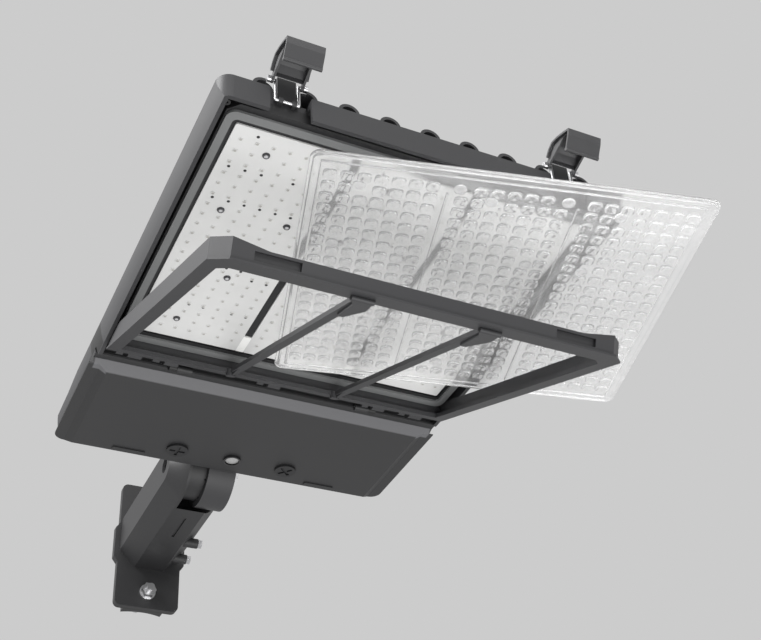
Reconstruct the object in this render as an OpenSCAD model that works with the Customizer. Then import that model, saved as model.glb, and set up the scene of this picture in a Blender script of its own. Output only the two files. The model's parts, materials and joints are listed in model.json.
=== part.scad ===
// Shoebox area light on a tilting arm, opened for service, in millimetres.
// Origin: middle of the pole face. The pole stands at +Y, the lamp head reaches towards -Y, +Z is up.
// The head is drawn in its own frame: X from its middle, Y back from its front wall, Z up from its rim.

/* [Head] */
// Width of the housing at its rim
head_w = 380; // [370:1:390]
// Length of the housing with its cover
head_len = 538.4; // [534:0.4:546]
// Height of the outer wall above the rim
wall_h = 25.7; // [25:0.1:28]
// How far the side walls swell out towards the top
side_bulge = 5; // [3:0.5:7]
// Thickness of the outer wall at the rim
wall_t = 3.8; // [3.4:0.1:4]
// Corner radius of the outer wall in plan
corner_r = 12; // [8:1:16]
// How far the rear wall stands inside the end of the cover
rear_step = 5.4; // [4.4:0.2:6.4]
// Sideways offset of the head from the arm
head_shift = 20; // [18:0.5:22]

/* [Frame channel and board floor] */
// Depth of the channel that takes the frame
channel_d = 18.5; // [18.3:0.1:20]
// Width of the channel at the sides
channel_w = 4.7; // [4.6:0.1:5.2]
// Width of the channel at the front
channel_front_w = 8.4; // [8:0.1:9]
// Width of the channel at the hinges
channel_rear_w = 25.5; // [25:0.5:27]
// Ledge between the channel and the cover's front edge
channel_ledge = 4; // [3.8:0.1:4.2]
// Corner chamfer of the island that carries seal and boards
island_cham = 9; // [8.6:0.1:10]
// Height of the seal ledge above the rim
ledge_z = 7.9; // [7.7:0.1:8.1]
// Width of the seal ledge at the sides
ledge_side_w = 10.5; // [10:0.1:11]
// Width of the seal ledge at the ends
ledge_end_w = 16; // [15.5:0.1:16.5]
// Height of the board floor above the rim
floor_z = 10; // [9.8:0.1:10.4]
// Thickness of the board floor under the humps
floor_t = 4; // [3:0.5:5]
// Distance of the hollow above the board floor from the island's edge
tray_edge = 9.5; // [9:0.1:10]
// Radius of the bosses in the front corners
corner_boss_r = 3; // [2.6:0.1:3.2]
// Radius of the holes in the corner bosses
boss_hole_r = 1.2; // [1:0.1:1.4]

/* [Heat-sink humps] */
// Number of humps
hump_n = 9; // [7:2:9]
// Distance of the outer humps from the side of the rim
hump_side = 25.6; // [24:0.2:28]
// Width of one hump
hump_w = 20; // [17:1:22]
// Height of the humps above the rim
hump_h = 44; // [42:1:46]
// Wall of one hump
hump_t = 3; // [2.5:0.5:4]
// Distance of the humps from the front wall
hump_front = 9; // [8:0.5:10]
// How far the humps run on over the cover
hump_past = 64; // [50:1:66]

/* [Wiring compartment] */
// Where the parting line with the cover lies above the rim
part_z = 9; // [8.5:0.1:9.5]
// Thickness of the partition behind the hinge channel
partition_t = 7; // [6:0.5:8]
// Height of the compartment roof above the rim
roof_z = 17.5; // [16.5:0.5:18]
// Thickness of the rear wall
rear_t = 6; // [5.5:0.5:7]
// Depth of the seal groove in the parting face
seal_groove_d = 1.2; // [1:0.1:1.4]
// Distance of the seal groove from the cover's front edge
seal_groove_edge = 0.5; // [0.4:0.1:0.6]

/* [Lens seal] */
// Width of the seal at the sides
seal_side_w = 7; // [6:0.5:7.5]
// Width of the seal at the ends
seal_end_w = 8; // [7:0.5:9]
// Thickness of the seal
seal_t = 2.7; // [2:0.1:2.7]

/* [Emitter boards] */
// Gap between the outer boards and the ledge at their sides
board_side_gap = 2.35; // [2:0.05:3]
// Gap between the boards and the ledge at the front
board_front_gap = 5.5; // [5:0.1:6]
// Gap between the boards and the ledge at the hinges
board_rear_gap = 2.2; // [2:0.1:3]
// Thickness of a board
board_t = 1.6; // [1.2:0.1:2]
// Gap between two boards
board_gap = 8; // [7.5:0.1:8.4]
// Length of the bridge between two boards
link_run = 25; // [20:1:30]
// Columns of emitters on a board
cell_cols = 7; // [5:1:7]
// Rows of emitters on a board
cell_rows = 20; // [16:1:20]
// Distance of the outer emitters from the side of a board
cell_side = 9.45; // [9:0.05:10]
// Distance of the first and last emitters from the end of a board
cell_end = 15.25; // [14:0.05:16]
// Side of one emitter
chip_w = 3.2; // [2.6:0.2:3.6]
// Height of one emitter
chip_h = 0.7; // [0.5:0.1:0.9]
// Head diameter of a board screw
screw_head_d = 6.8; // [6:0.2:7]
// Shank diameter of a board screw
screw_d = 3.4; // [3:0.1:3.6]
// Height of a board screw's head
screw_head_h = 1.9; // [1.5:0.1:2.1]
// Length of a board screw's shank
screw_len = 4.2; // [3.6:0.2:4.6]

/* [Lens] */
// How far the lens reaches past the boards at the sides
lens_side = 9.35; // [9:0.05:9.6]
// How far the lens reaches past the boards at the ends
lens_end = 9.7; // [9:0.1:10]
// Thickness of the lens border
lens_t = 2.6; // [2.2:0.1:2.8]
// Corner radius of the lens
lens_r = 9; // [5:1:14]
// Width of the double ridge round the lens
ridge_w = 2.2; // [1.8:0.2:2.6]
// Height of the ridges
ridge_h = 1.4; // [1:0.1:1.6]
// Base diameter of one small lens
bead_d = 12.6; // [11:0.2:13]
// Height of one small lens
bead_h = 3.4; // [2.6:0.2:4]
// How far the loose lens's middle lies inside the frame's right side
lens_in = 80.6; // [75:0.1:81]
// Distance from the hinge line to the rear edge of the loose lens, before its turn
lens_ahead = 79.3; // [78:0.1:83]
// How far the loose lens lies below the rim
lens_drop = 18.6; // [18:0.1:20]
// Turn of the loose lens in plan
lens_turn = 15.86; // [14:0.02:17]
// Sideways lean of the loose lens
lens_lean = 3.78; // [3.7:0.02:4.2]
// Nose lean of the loose lens
lens_nod = 0.74; // [0.7:0.02:0.8]

/* [Lens frame] */
// How far the frame is swung open
door_open = 22.75; // [22.75:0.25:30]
// Distance of the frame's lip from the side of the rim
frame_side = 3.5; // [3.4:0.1:4]
// Distance of the frame's lip from the front of the rim
frame_y0 = 1.7; // [1.6:0.1:2]
// Gap between the hinge lugs and the frame's rear edge
frame_rear_gap = 2; // [1.8:0.1:2.2]
// Thickness of the lip below the rim
lip_t = 1.8; // [1.4:0.1:1.8]
// Thickness of the flange
flange_t = 4.5; // [4:0.1:4.5]
// Width of the side flanges
flange_side_w = 12.5; // [12:0.1:13]
// Width of the front flange
flange_front_w = 21.5; // [21:0.1:22.5]
// Width of the rear flange
flange_rear_w = 12; // [11.5:0.1:12.5]
// Height of the frame's side walls
frame_wall_h = 19.3; // [18:0.1:19.5]
// Height of the frame's end walls
frame_end_h = 14.3; // [13.8:0.1:14.6]
// Thickness of the frame's walls
frame_wall_t = 3.5; // [3:0.1:3.5]
// How far the lip stands out past the walls
lip_out = 0.9; // [0.5:0.1:1]
// Corner chamfer of the frame
frame_cham = 14; // [13.5:0.1:15]
// Depth of the frame's outer face below the rim when shut
frame_drop = 2; // [2:0.1:2.2]
// Width of the cross straps
strap_w = 8.5; // [8:0.1:9.5]
// Depth of the cross straps
strap_t = 4.5; // [3.6:0.1:4.5]
// Wall left above a latch window
window_edge = 2.3; // [2:0.1:2.6]
// Thickness of the plate behind a latch window
window_back = 1.4; // [1.2:0.1:1.6]
// Radius of the bosses at the hinge end of the straps
strap_boss_r = 5; // [4.5:0.1:5.4]
// How far the strap bosses stand below the frame
strap_boss_h = 3; // [2:0.1:3]
// Half width of a lens clip
clip_x = 10; // [9:0.5:11]
// Length of a lens clip
clip_len = 52; // [40:1:60]
// Thickness of a lens clip
clip_t = 2.4; // [2:0.1:2.8]

/* [Frame hinge] */
// Hinge line before the cover's front edge
hinge_back = 16; // [15.6:0.1:16.4]
// Hinge line above the rim
hinge_z = 2.5; // [2.3:0.1:2.7]
// Radius of the hinge lugs on the frame
hinge_lug_r = 5.8; // [5.4:0.1:6]
// Radius of the hinge lugs on the housing
hinge_ear_r = 4.8; // [4.4:0.1:5]
// Width of a hinge lug on the housing
hinge_ear_w = 7; // [6:0.5:7.5]
// Radius of the hinge pins
hinge_pin_r = 2.2; // [1.8:0.1:2.4]
// Length of a pin that shows between two lugs
pin_show = 5; // [4:0.5:5.5]

/* [Driver cover] */
// Depth of the pan below the rim
pan_d = 5; // [4.5:0.1:5.5]
// Wall of the cover
cover_t = 2.6; // [2.2:0.1:3]
// Inset of the pan's bottom edge from the rim's side
pan_edge = 15; // [13:0.5:17]
// Inset of the pan's slope at rim height
pan_slope = 7; // [6:0.5:8]
// Length of the cover
cover_len = 162.4; // [162:0.1:162.8]
// Length of the cover's front ledge
band_lead = 9; // [8.5:0.5:10]
// Length of the cover's front slope
band_run = 8; // [7:0.5:9]
// Height of the cover's front ledge above the rim
band_z = 5; // [4.9:0.1:5.2]
// Cover hinge line before the cover's front edge
cover_hinge_back = 1.5; // [1.4:0.1:1.7]
// Cover hinge line above the rim
cover_hinge_z = 5; // [4.9:0.1:5.1]
// Radius of the cover's hinge barrels
barrel_r = 3.6; // [3.2:0.1:3.7]
// Width of the cover's hinge barrels
barrel_w = 16; // [12:1:18]
// Radius of the cover's hinge pins
cover_pin_r = 1.8; // [1.4:0.1:2]
// Distance of the cover's hinges from the middle
cover_hinge_x = 100; // [96:1:104]

/* [Cover fittings] */
// Distance of the captive screws from the middle
captive_x = 64; // [60:1:68]
// Distance of the captive screws from the end of the cover
captive_back = 31.9; // [30.4:0.1:38]
// Head diameter of a captive screw
captive_head_d = 24; // [20:0.5:25]
// Head height of a captive screw
captive_head_h = 3; // [2.5:0.1:4]
// Shank diameter of a captive screw
captive_d = 8; // [7:0.2:8.4]
// Length of a captive screw's shank
captive_len = 19; // [16:0.5:20]
// Width of the collar that keeps a captive screw in the cover
collar_w = 1; // [0.6:0.1:1.2]
// Gap round a captive screw in its socket
socket_gap = 2.5; // [2:0.1:3]
// Wall of a screw socket
socket_t = 3; // [2.5:0.1:3.5]
// Outer diameter of the sensor bezel
bezel_d = 19.6; // [18:0.2:22]
// Diameter of the sensor window
window_d = 16; // [15:0.2:16.4]
// Rim of the sensor window behind the cover
window_rim = 1; // [0.8:0.1:1.4]
// Height of the sensor bezel
bezel_h = 3; // [2:0.2:4]
// Length of a rear tab on the cover
tab_len = 36.2; // [30:0.2:40]
// Width of a rear tab
tab_w = 6.6; // [6:0.1:7]
// Height of a rear tab
tab_h = 1.5; // [1:0.1:2]
// Distance of the rear tabs' middles from the side of the rim
tab_in = 76.4; // [72:0.2:82]

/* [Compartment contents] */
// Length of the driver
driver_len = 170; // [150:1:175]
// Width of the driver
driver_w = 52; // [46:1:54]
// Height of the driver
driver_h = 15.5; // [14:0.5:16]
// Length of the surge protector
surge_len = 60; // [50:1:64]
// Width of the surge protector
surge_w = 38; // [34:1:42]
// Height of the surge protector
surge_h = 14; // [12:0.5:15]
// Length of the terminal block
terminal_len = 54; // [48:1:58]
// Width of the terminal block
terminal_w = 17; // [15:0.5:19]
// Height of the terminal block
terminal_h = 13; // [12:0.5:14]

/* [Latches] */
// Distance of the latches from the side of the rim
latch_in = 56.2; // [55.5:0.1:57]
// Width of the latch recess
recess_w = 36.7; // [36:0.1:37.5]
// Link pivot behind the front wall
link_y = 8.8; // [8.7:0.1:8.9]
// Link pivot above the rim
link_z = 22; // [21.8:0.1:22.4]
// Length of the link
link_len = 23; // [22.5:0.1:23.3]
// Distance between the link's wires
link_w = 20.5; // [20:0.1:20.8]
// Diameter of the link wire
wire_d = 3; // [2.6:0.1:3]
// Width of the lever
lever_w = 34; // [33:0.1:34.2]
// Thickness of the lever
lever_t = 2; // [1.6:0.1:2.2]
// Radius of the lever's rolled edge
lip_r = 1.8; // [1.6:0.1:1.9]
// Radius of the rollers
roller_r = 3; // [2.6:0.1:3.2]

/* [Knuckle and arm] */
// Radius of the knuckle discs
knuckle_r = 41.5; // [41:0.1:42]
// Knuckle line behind the end of the head
knuckle_back = 35.6; // [35.4:0.1:36.2]
// Knuckle line above the rim
knuckle_z = 13.5; // [13:0.1:14]
// Knuckle line above the middle of the pole plate
knuckle_up = 10; // [9:0.5:11]
// Width of the lug on the head
lug_w = 32; // [30:1:34]
// Radius of the boss on the arm
boss_r = 34; // [32:0.5:36]
// Clear radius round the knuckle
clear_r = 43; // [42.8:0.1:43.4]
// Radius of the notch in the cover round the knuckle
notch_r = 44.8; // [44:0.1:45.4]
// Clear radius in the arm behind the head's lug
pocket_r = 46; // [45.5:0.1:48]
// Width of the arm
arm_w = 76; // [74:1:78]
// Width of the arm's chamfers
arm_cham = 19.5; // [18:0.5:21]
// Height of the arm's chamfers
arm_cham_h = 20.7; // [19:0.1:22]
// Wall of the arm
arm_t = 6; // [5:0.5:7]
// Reach of the arm from the pole face to the knuckle line
arm_reach = 199; // [190:1:215]
// Diameter of the knuckle bolt
bolt_d = 12; // [11:0.5:12]
// Head diameter of the knuckle bolt
bolt_head_d = 17; // [16:0.5:17.5]
// Head height of the knuckle bolt
bolt_head_h = 9; // [8:0.5:10]
// Depth of the bolt's access hole
access_d = 13; // [12:0.5:14]
// Diameter of the bolt's access hole
access_w = 18.4; // [18:0.2:20]
// Thickness of the knuckle washer
washer_t = 2.5; // [2:0.1:3]
// Thickness of the knuckle nut
nut_t = 10; // [9:0.5:11]
// How far the bolt stands out of its nut
bolt_tip = 1; // [0.5:0.5:2]
// Number of grooves across the knuckle faces
groove_n = 24; // [12:4:32]
// Width of a knuckle groove
groove_w = 2.1; // [1.8:0.1:2.4]
// Depth of a knuckle groove
groove_h = 1; // [0.8:0.1:1.2]
// Width of the seam groove under the arm
seam_w = 3; // [2:0.5:4]
// Depth of the seam groove under the arm
seam_d = 1.8; // [1.2:0.1:2]

/* [Pole mount] */
// Width of the pole plate
plate_w = 80; // [79:1:84]
// Height of the pole plate
plate_h = 167; // [160:1:175]
// Thickness of the pole plate
plate_t = 6; // [5:0.5:8]
// Corner radius of the pole plate
plate_r = 7; // [5:0.5:10]
// How far the plate swells at its sides
plate_bulge = 5; // [3:0.5:6]
// Thickness of the plate seal
pole_seal_t = 3; // [2:0.5:4]
// Width of the pole adapter
adapter_w = 50; // [46:1:56]
// Height of the pole adapter
adapter_h = 160; // [152:1:165]
// Thickness of the pole adapter at its middle
adapter_t = 12; // [10:0.5:14]
// Radius of the pole
pole_r = 60; // [55:1:75]
// Radius of the wire hole
wire_hole_r = 12.5; // [11:0.5:13]
// Radius of the flats round the holes on the pole side
spot_r = 16; // [15.5:0.5:17]
// Depth of these flats
spot_d = 0.5; // [0.4:0.1:0.8]
// Distance between the two studs
stud_gap = 125; // [125:0.5:130]
// Diameter of a stud
stud_d = 10; // [8:0.5:10]
// Diameter of the threaded length of a stud, at the middle of its thread
stud_in_d = 9; // [8.6:0.1:9.2]
// Length of a stud behind the pole face
stud_back = 30; // [15:1:40]
// Length of a stud in front of the plate
stud_front = 18; // [16:0.5:22]

/* [Hidden] */
$fn = 48;
// One named overrun serves all cuts, and this is its sum over both ends.
over = 1;
overs = over + over;
// Gap of a shaft in a running hole, and of faces that pass each other.
run_gap = 0.06;
face_gap = 0.3;
cast_color = [0.29, 0.29, 0.3];
steel_color = [0.72, 0.72, 0.74];
seal_color = [0.6, 0.6, 0.6];
plastic_color = [0.12, 0.12, 0.13];

side_x = head_w / 2 + side_bulge;
side_r = (wall_h * wall_h + side_bulge * side_bulge) / (2 * side_bulge);
inner_x = head_w / 2 - wall_t;
knuckle_y = head_len + knuckle_back;
cover_front = head_len - cover_len;
hinge_y = cover_front - hinge_back;
cover_hinge_y = cover_front - cover_hinge_back;
band_top = cover_front + band_lead;
band_low = band_top + band_run;
captive_y = head_len - captive_back;
latch_x = head_w / 2 - latch_in;
tab_x = head_w / 2 - tab_in;
head_z = knuckle_up - knuckle_z;
rear_y = head_len - rear_step;

island_x = inner_x - channel_w;
island_y0 = wall_t + channel_front_w;
channel_y1 = cover_front - channel_ledge;
island_y1 = channel_y1 - channel_rear_w;
partition_y1 = channel_y1 + partition_t;
comp_y1 = rear_y - rear_t;
tray_y0 = island_y0 + floor_t;
tray_y1 = island_y1 - floor_t;
hump_r = hump_w / 2;
hump_pitch = (head_w - 2 * hump_side - hump_w) / (hump_n - 1);
hump_len = cover_front + hump_past - hump_front;
board_w = (2 * (island_x - ledge_side_w - board_side_gap) - 2 * board_gap) / 3;
board_front = island_y0 + ledge_end_w + board_front_gap;
board_len = island_y1 - ledge_end_w - board_rear_gap - board_front;
board_pitch = board_w + board_gap;
cells_w = board_w - 2 * cell_side;
cells_len = board_len - 2 * cell_end;
cell_x = cells_w / (cell_cols - 1);
cell_y = cells_len / (cell_rows - 1);
board_under = floor_z - board_t;
// Screw places on one board, as shares of its width and length.
hole_shares = [[-0.166, 0.085], [-0.286, 0.347], [0.296, 0.345], [0.06, 0.64], [-0.169, 0.898]];
seal_y0 = island_y0 + 0.4 * ledge_end_w;
seal_y1 = island_y1 - 0.2 * ledge_end_w;
groove_y1 = rear_y - 0.6 * rear_t;
lens_w = 3 * board_w + 2 * board_gap + 2 * lens_side;
lens_len = board_len + 2 * lens_end;

lug_x0 = -lug_w / 2;
arm_x0 = -arm_w / 2;
lug_face_x = head_shift + lug_x0;

frame_x = head_w / 2 - frame_side;
frame_wall_x = frame_x - lip_out;
frame_y1 = hinge_y - hinge_lug_r - frame_rear_gap;
lens_x = frame_x - lens_in;
lens_y = hinge_y - lens_ahead - lens_len / 2;
frame_in_x = frame_x - flange_side_w;
frame_in_y0 = frame_y0 + flange_front_w;
frame_in_y1 = frame_y1 - flange_rear_w;
frame_wall_y0 = wall_t + channel_w / 8;
frame_top_z = frame_wall_h - frame_drop;
frame_end_z = frame_end_h - frame_drop;
flange_z = flange_t - frame_drop;
strap_x = board_pitch / 2;
lens_plane = flange_z;

// Frame lugs and the free pins at their left, as left and right ends across the head.
lug_shares = [[-0.4295, -0.3926], [-0.3303, -0.2929], [-0.0368, -0.0013], [0.2789, 0.3158], [0.3947, 0.4342]];

driver_y = band_low + cover_t + wall_t;
captive_hole_r = captive_d / 2 + run_gap;
socket_r = captive_d / 2 + socket_gap;

pole_stack = adapter_t + pole_seal_t;
plate_y = -pole_stack;
arm_y1 = plate_y - plate_t;
arm_half_h = knuckle_r;
washer_r = stud_d;
nut_r = 0.92 * stud_d;
nut_h = 0.8 * stud_d;

nut_x0 = lug_face_x + lug_w + face_gap + washer_t;
cheek_x0 = arm_x0 - head_shift - face_gap;
cheek_r = arm_half_h - arm_cham_h;
arm_len = arm_reach + arm_y1;
ear_y = [arm_len - 0.36 * arm_w + cheek_r / 3, arm_len - 0.94 * arm_w + cheek_r / 3];
ear_z = arm_cham_h / 2 - arm_half_h;
// Side view of the lever from its pivot, in lengths of the link: it climbs, runs forward and hangs
// down to a rolled edge.
lever_shares = [[-0.22, 0.2], [-0.44, 0.43], [-0.7, 0.565], [-1.05, 0.52], [-1.5, 0.38], [-1.83, 0.25],
    [-1.75, 0.02], [-1.457, -0.478]];

// Places a piece of the head in the part's frame.
module at_head() {
    translate([head_shift, -arm_reach - knuckle_y, head_z])
        children();
}

// A box given by its low and high corners.
module span(lo, hi) {
    translate(lo)
        cube(hi - lo);
}

// A round bar along X from x0 to x1 at (y, z).
module bar_x(x0, x1, y, z, r) {
    translate([x0, y, z])
        rotate([0, 90, 0])
            cylinder(h = x1 - x0, r = r);
}

// A round bar along Y from y0 to y1 at (x, z).
module bar_y(y0, y1, x, z, r) {
    translate([x, y0, z])
        rotate([-90, 0, 0])
            cylinder(h = y1 - y0, r = r);
}

// Draws an outline given in Y and Z across X from x0 to x1.
module across(x0, x1) {
    translate([x0, 0, 0])
        rotate([90, 0, 90])
            linear_extrude(x1 - x0)
                children();
}

// Draws an outline given in X and Z along Y from y0 to y1.
module along(y0, y1) {
    translate([0, y1, 0])
        rotate([90, 0, 0])
            linear_extrude(y1 - y0)
                children();
}

// Plan outline with rounded corners.
module plan_round(x0, x1, y0, y1, r) {
    union() {
        translate([x0 + r, y0])
            square([x1 - x0 - 2 * r, y1 - y0]);
        translate([x0, y0 + r])
            square([x1 - x0, y1 - y0 - 2 * r]);
        for (x = [x0 + r, x1 - r], y = [y0 + r, y1 - r])
            translate([x, y])
                circle(r = r);
    }
}

// Cross-section of the head with its swelling side walls, between two heights.
module wall_section(z0, z1) {
    intersection() {
        translate([-side_x, z0])
            square([2 * side_x, z1 - z0]);
        union() {
            translate([-side_x + side_r, z0])
                square([2 * (side_x - side_r), z1 - z0]);
            for (s = [-1, 1])
                translate([s * (side_x - side_r), wall_h])
                    circle(r = side_r, $fn = 96);
        }
    }
}

// Side view of the housing: low over the compartment, with a rounded rear edge.
module housing_profile() {
    polygon([[0, 0], [0, wall_h], [cover_front + 0.41 * cover_len, wall_h],
        [cover_front + 0.629 * cover_len, 0.837 * wall_h],
        [cover_front + 0.801 * cover_len, 0.8 * wall_h], [rear_y - rear_t, 0.77 * wall_h],
        [rear_y - 0.3 * rear_t, 0.7 * wall_h], [rear_y, 0.6 * wall_h], [rear_y, part_z],
        [channel_y1, part_z], [channel_y1, 0]]);
}

module hump_section(r, z0) {
    translate([-r, z0])
        square([2 * r, hump_h - hump_r - z0]);
    translate([0, hump_h - hump_r])
        circle(r = r);
}

module humps() {
    for (k = [0 : hump_n - 1])
        translate([(k - (hump_n - 1) / 2) * hump_pitch, 0, 0])
            along(hump_front, hump_front + hump_len)
                hump_section(hump_r, floor_z + floor_t / 2);
}

// Each hump is a tunnel, open at the front and ending over the hinge channel.
module hump_tunnels() {
    for (k = [0 : hump_n - 1])
        translate([(k - (hump_n - 1) / 2) * hump_pitch, 0, 0]) {
            along(tray_y0, tray_y1)
                hump_section(hump_r - hump_t, floor_z + floor_t);
            along(hump_front - over, tray_y0 + over)
                hump_section(hump_r - hump_t, wall_h);
        }
}

// The knuckle lug with the neck that joins it to the rear wall.
module head_lug() {
    bar_x(lug_x0, -lug_x0, knuckle_y, knuckle_z, knuckle_r);
    across(lug_x0, -lug_x0)
        polygon([[rear_y - rear_t / 2, part_z], [rear_y - rear_t / 2, 0.7 * wall_h],
            [knuckle_y - 0.45 * knuckle_r, knuckle_z + 0.89 * knuckle_r],
            [knuckle_y, knuckle_z], [knuckle_y - 0.95 * knuckle_r, part_z]]);
}

// Radial grooves across a knuckle face at x.
module face_grooves(x, depth) {
    for (k = [0 : groove_n / 2 - 1])
        translate([x, 0, 0])
            rotate([k * 360 / groove_n, 0, 0])
                span([-depth, -boss_r - over, -groove_w / 2], [depth, boss_r + over, groove_w / 2]);
}

module face_ring(x, depth) {
    translate([x, 0, 0])
        difference() {
            bar_x(-depth, depth, 0, 0, boss_r + overs);
            bar_x(-depth - over, depth + over, 0, 0, 0.62 * boss_r);
        }
}

module knuckle_grooves(x, depth) {
    intersection() {
        face_grooves(x, depth);
        face_ring(x, depth);
    }
}

module latch_recess(x) {
    span([x - recess_w / 2, -over, -over], [x + recess_w / 2, island_y0, hump_h + over]);
}

module link_ears(x) {
    for (s = [-1, 1])
        translate([x + s * 0.29 * link_w, 0, 0])
            difference() {
                union() {
                    bar_x(-0.09 * link_w, 0.09 * link_w, link_y, link_z, wire_d);
                    span([-0.09 * link_w, link_y, link_z - wire_d],
                        [0.09 * link_w, island_y0 + over, link_z + wire_d]);
                }
                bar_x(-link_w, link_w, link_y, link_z, wire_d / 2 + run_gap);
            }
}

module frame_ears() {
    for (l = lug_shares)
        translate([l[0] * head_w - pin_show - hinge_ear_w, 0, 0])
            difference() {
                union() {
                    bar_x(0, hinge_ear_w, hinge_y, hinge_z, hinge_ear_r);
                    span([0, hinge_y - hinge_ear_r, hinge_z],
                        [hinge_ear_w, hinge_y + hinge_ear_r, channel_d + over]);
                }
                bar_x(-over, hinge_ear_w + over, hinge_y, hinge_z, hinge_pin_r + run_gap);
            }
}

module cover_ears() {
    for (s = [-1, 1])
        translate([s * (cover_hinge_x + barrel_w / 2 + barrel_w / 4 + face_gap), 0, 0])
            difference() {
                union() {
                    bar_x(-barrel_w / 4, barrel_w / 4, cover_hinge_y, cover_hinge_z, barrel_r);
                    span([-barrel_w / 4, channel_y1, cover_hinge_z],
                        [barrel_w / 4, cover_hinge_y + barrel_r / 2, part_z + over]);
                }
                bar_x(-barrel_w, barrel_w, cover_hinge_y, cover_hinge_z, cover_pin_r + run_gap);
            }
}

module corner_bosses(r, z0) {
    for (s = [-1, 1])
        translate([s * (head_w / 2 - 1.5 * corner_boss_r), 3.1 * corner_boss_r, z0])
            cylinder(h = channel_d + over - z0, r = r);
}

// The raised field that carries seal and boards, with chamfered corners.
module island(z0, z1) {
    x = island_x;
    c = island_cham;
    translate([0, 0, z0])
        linear_extrude(z1 - z0)
            polygon([[-x + c, island_y0], [x - c, island_y0], [x, island_y0 + c], [x, island_y1 - c],
                [x - c, island_y1], [-x + c, island_y1], [-x, island_y1 - c], [-x, island_y0 + c]]);
}

module board_holes(r, z0, z1) {
    for (k = [-1 : 1], h = hole_shares)
        translate([k * board_pitch + h[0] * board_w, board_front + h[1] * board_len, z0])
            cylinder(h = z1 - z0, r = r);
}

module compartment_groove() {
    y0 = cover_front + seal_groove_edge;
    difference() {
        span([-inner_x - wall_t, y0, part_z - over], [inner_x + wall_t, groove_y1, part_z + seal_groove_d]);
        span([-inner_x - wall_t / 2, y0 + wall_t / 2, part_z - overs],
            [inner_x + wall_t / 2, groove_y1 - wall_t / 2, part_z + seal_groove_d + over]);
    }
}

// Die-cast tray: walls, frame channel, board floor, humps, compartment and knuckle lug.
module housing() {
    color(cast_color)
        at_head()
            difference() {
                union() {
                    difference() {
                        union() {
                            intersection() {
                                along(-over, rear_y + over)
                                    wall_section(0, wall_h);
                                across(-side_x - over, side_x + over)
                                    housing_profile();
                                translate([0, 0, -over])
                                    linear_extrude(wall_h + overs)
                                        plan_round(-side_x - run_gap, side_x + run_gap, 0, rear_y, corner_r);
                            }
                            humps();
                        }
                        span([-inner_x, wall_t, -over], [inner_x, channel_y1, ledge_z]);
                        difference() {
                            span([-inner_x, wall_t, -over], [inner_x, channel_y1, channel_d]);
                            island(-overs, channel_d + over);
                        }
                        span([-island_x + ledge_side_w, island_y0 + ledge_end_w, 0],
                            [island_x - ledge_side_w, island_y1 - ledge_end_w, floor_z]);
                        difference() {
                            span([-island_x + tray_edge, tray_y0, floor_z + floor_t],
                                [island_x - tray_edge, tray_y1, wall_h + over]);
                            humps();
                        }
                        hump_tunnels();
                        span([-inner_x, partition_y1, part_z - over], [inner_x, comp_y1, roof_z]);
                        latch_recess(latch_x);
                        latch_recess(-latch_x);
                        board_holes(screw_d / 2 + run_gap, 0, floor_z + 0.8 * floor_t);
                        compartment_groove();
                    }
                    link_ears(latch_x);
                    link_ears(-latch_x);
                    frame_ears();
                    cover_ears();
                    corner_bosses(corner_boss_r, lip_t);
                    head_lug();
                }
                corner_bosses(boss_hole_r, 0);
                bar_x(lug_x0 - over, over - lug_x0, knuckle_y, knuckle_z, bolt_d / 2 + run_gap);
                bar_x(cheek_x0, lug_x0, knuckle_y, knuckle_z, clear_r);
                translate([0, knuckle_y, knuckle_z])
                    knuckle_grooves(lug_x0, groove_h);
            }
}

module lens_seal() {
    inset = (ledge_side_w - seal_side_w) / 3;
    color(seal_color)
        at_head()
            difference() {
                translate([0, 0, ledge_z - seal_t])
                    linear_extrude(seal_t)
                        plan_round(-island_x + inset, island_x - inset, seal_y0, seal_y1, lens_r);
                translate([0, 0, ledge_z - seal_t - over])
                    linear_extrude(seal_t + overs)
                        plan_round(-island_x + inset + seal_side_w, island_x - inset - seal_side_w,
                            seal_y0 + seal_end_w, seal_y1 - seal_end_w, lens_r / 2);
            }
}

// One board with its emitters; holes clear the screws.
module board(k) {
    color([0.87, 0.87, 0.85])
        at_head()
            difference() {
                union() {
                    translate([k * board_pitch, board_front, board_under])
                        linear_extrude(board_t)
                            plan_round(-board_w / 2, board_w / 2, 0, board_len, screw_d / 2);
                    for (i = [0 : cell_cols - 1], j = [0 : cell_rows - 1])
                        if (cell_used(i, j))
                            translate([k * board_pitch + i * cell_x - cells_w / 2,
                                board_front + board_len / 2 + j * cell_y - cells_len / 2, board_under])
                                span([-chip_w / 2, -chip_w / 2, -chip_h], [chip_w / 2, chip_w / 2, board_t / 2]);
                }
                board_holes(screw_d / 2 + run_gap, 0, floor_z + over);
            }
}

// A cell is left out where a screw head or its boss stands.
function cell_used(i, j) = min([for (h = hole_shares)
    norm([i * cell_x - cells_w / 2 - h[0] * board_w,
        j * cell_y - cells_len / 2 - (h[1] - 0.5) * board_len])]) > 0.45 * cell_x;

module board_left() {
    board(-1);
}

module board_middle() {
    board(0);
}

module board_right() {
    board(1);
}

module board_screws() {
    color(steel_color)
        at_head()
            union() {
                board_holes(screw_head_d / 2, board_under - screw_head_h, board_under);
                board_holes(screw_d / 2, board_under - over, board_under + screw_len);
            }
}

// Bridges that close the gaps between the boards at the hinge end.
module board_links() {
    color([0.9, 0.9, 0.88])
        at_head()
            for (s = [-1, 1])
                translate([s * board_pitch / 2, board_front + board_len - link_run, board_under])
                    span([-board_gap / 2, 0, 0], [board_gap / 2, link_run, board_t]);
}

module frame_pins() {
    color(steel_color)
        at_head()
            for (l = lug_shares)
                bar_x(l[0] * head_w - pin_show - hinge_ear_w, l[1] * head_w - over, hinge_y, hinge_z,
                    hinge_pin_r);
}

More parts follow.
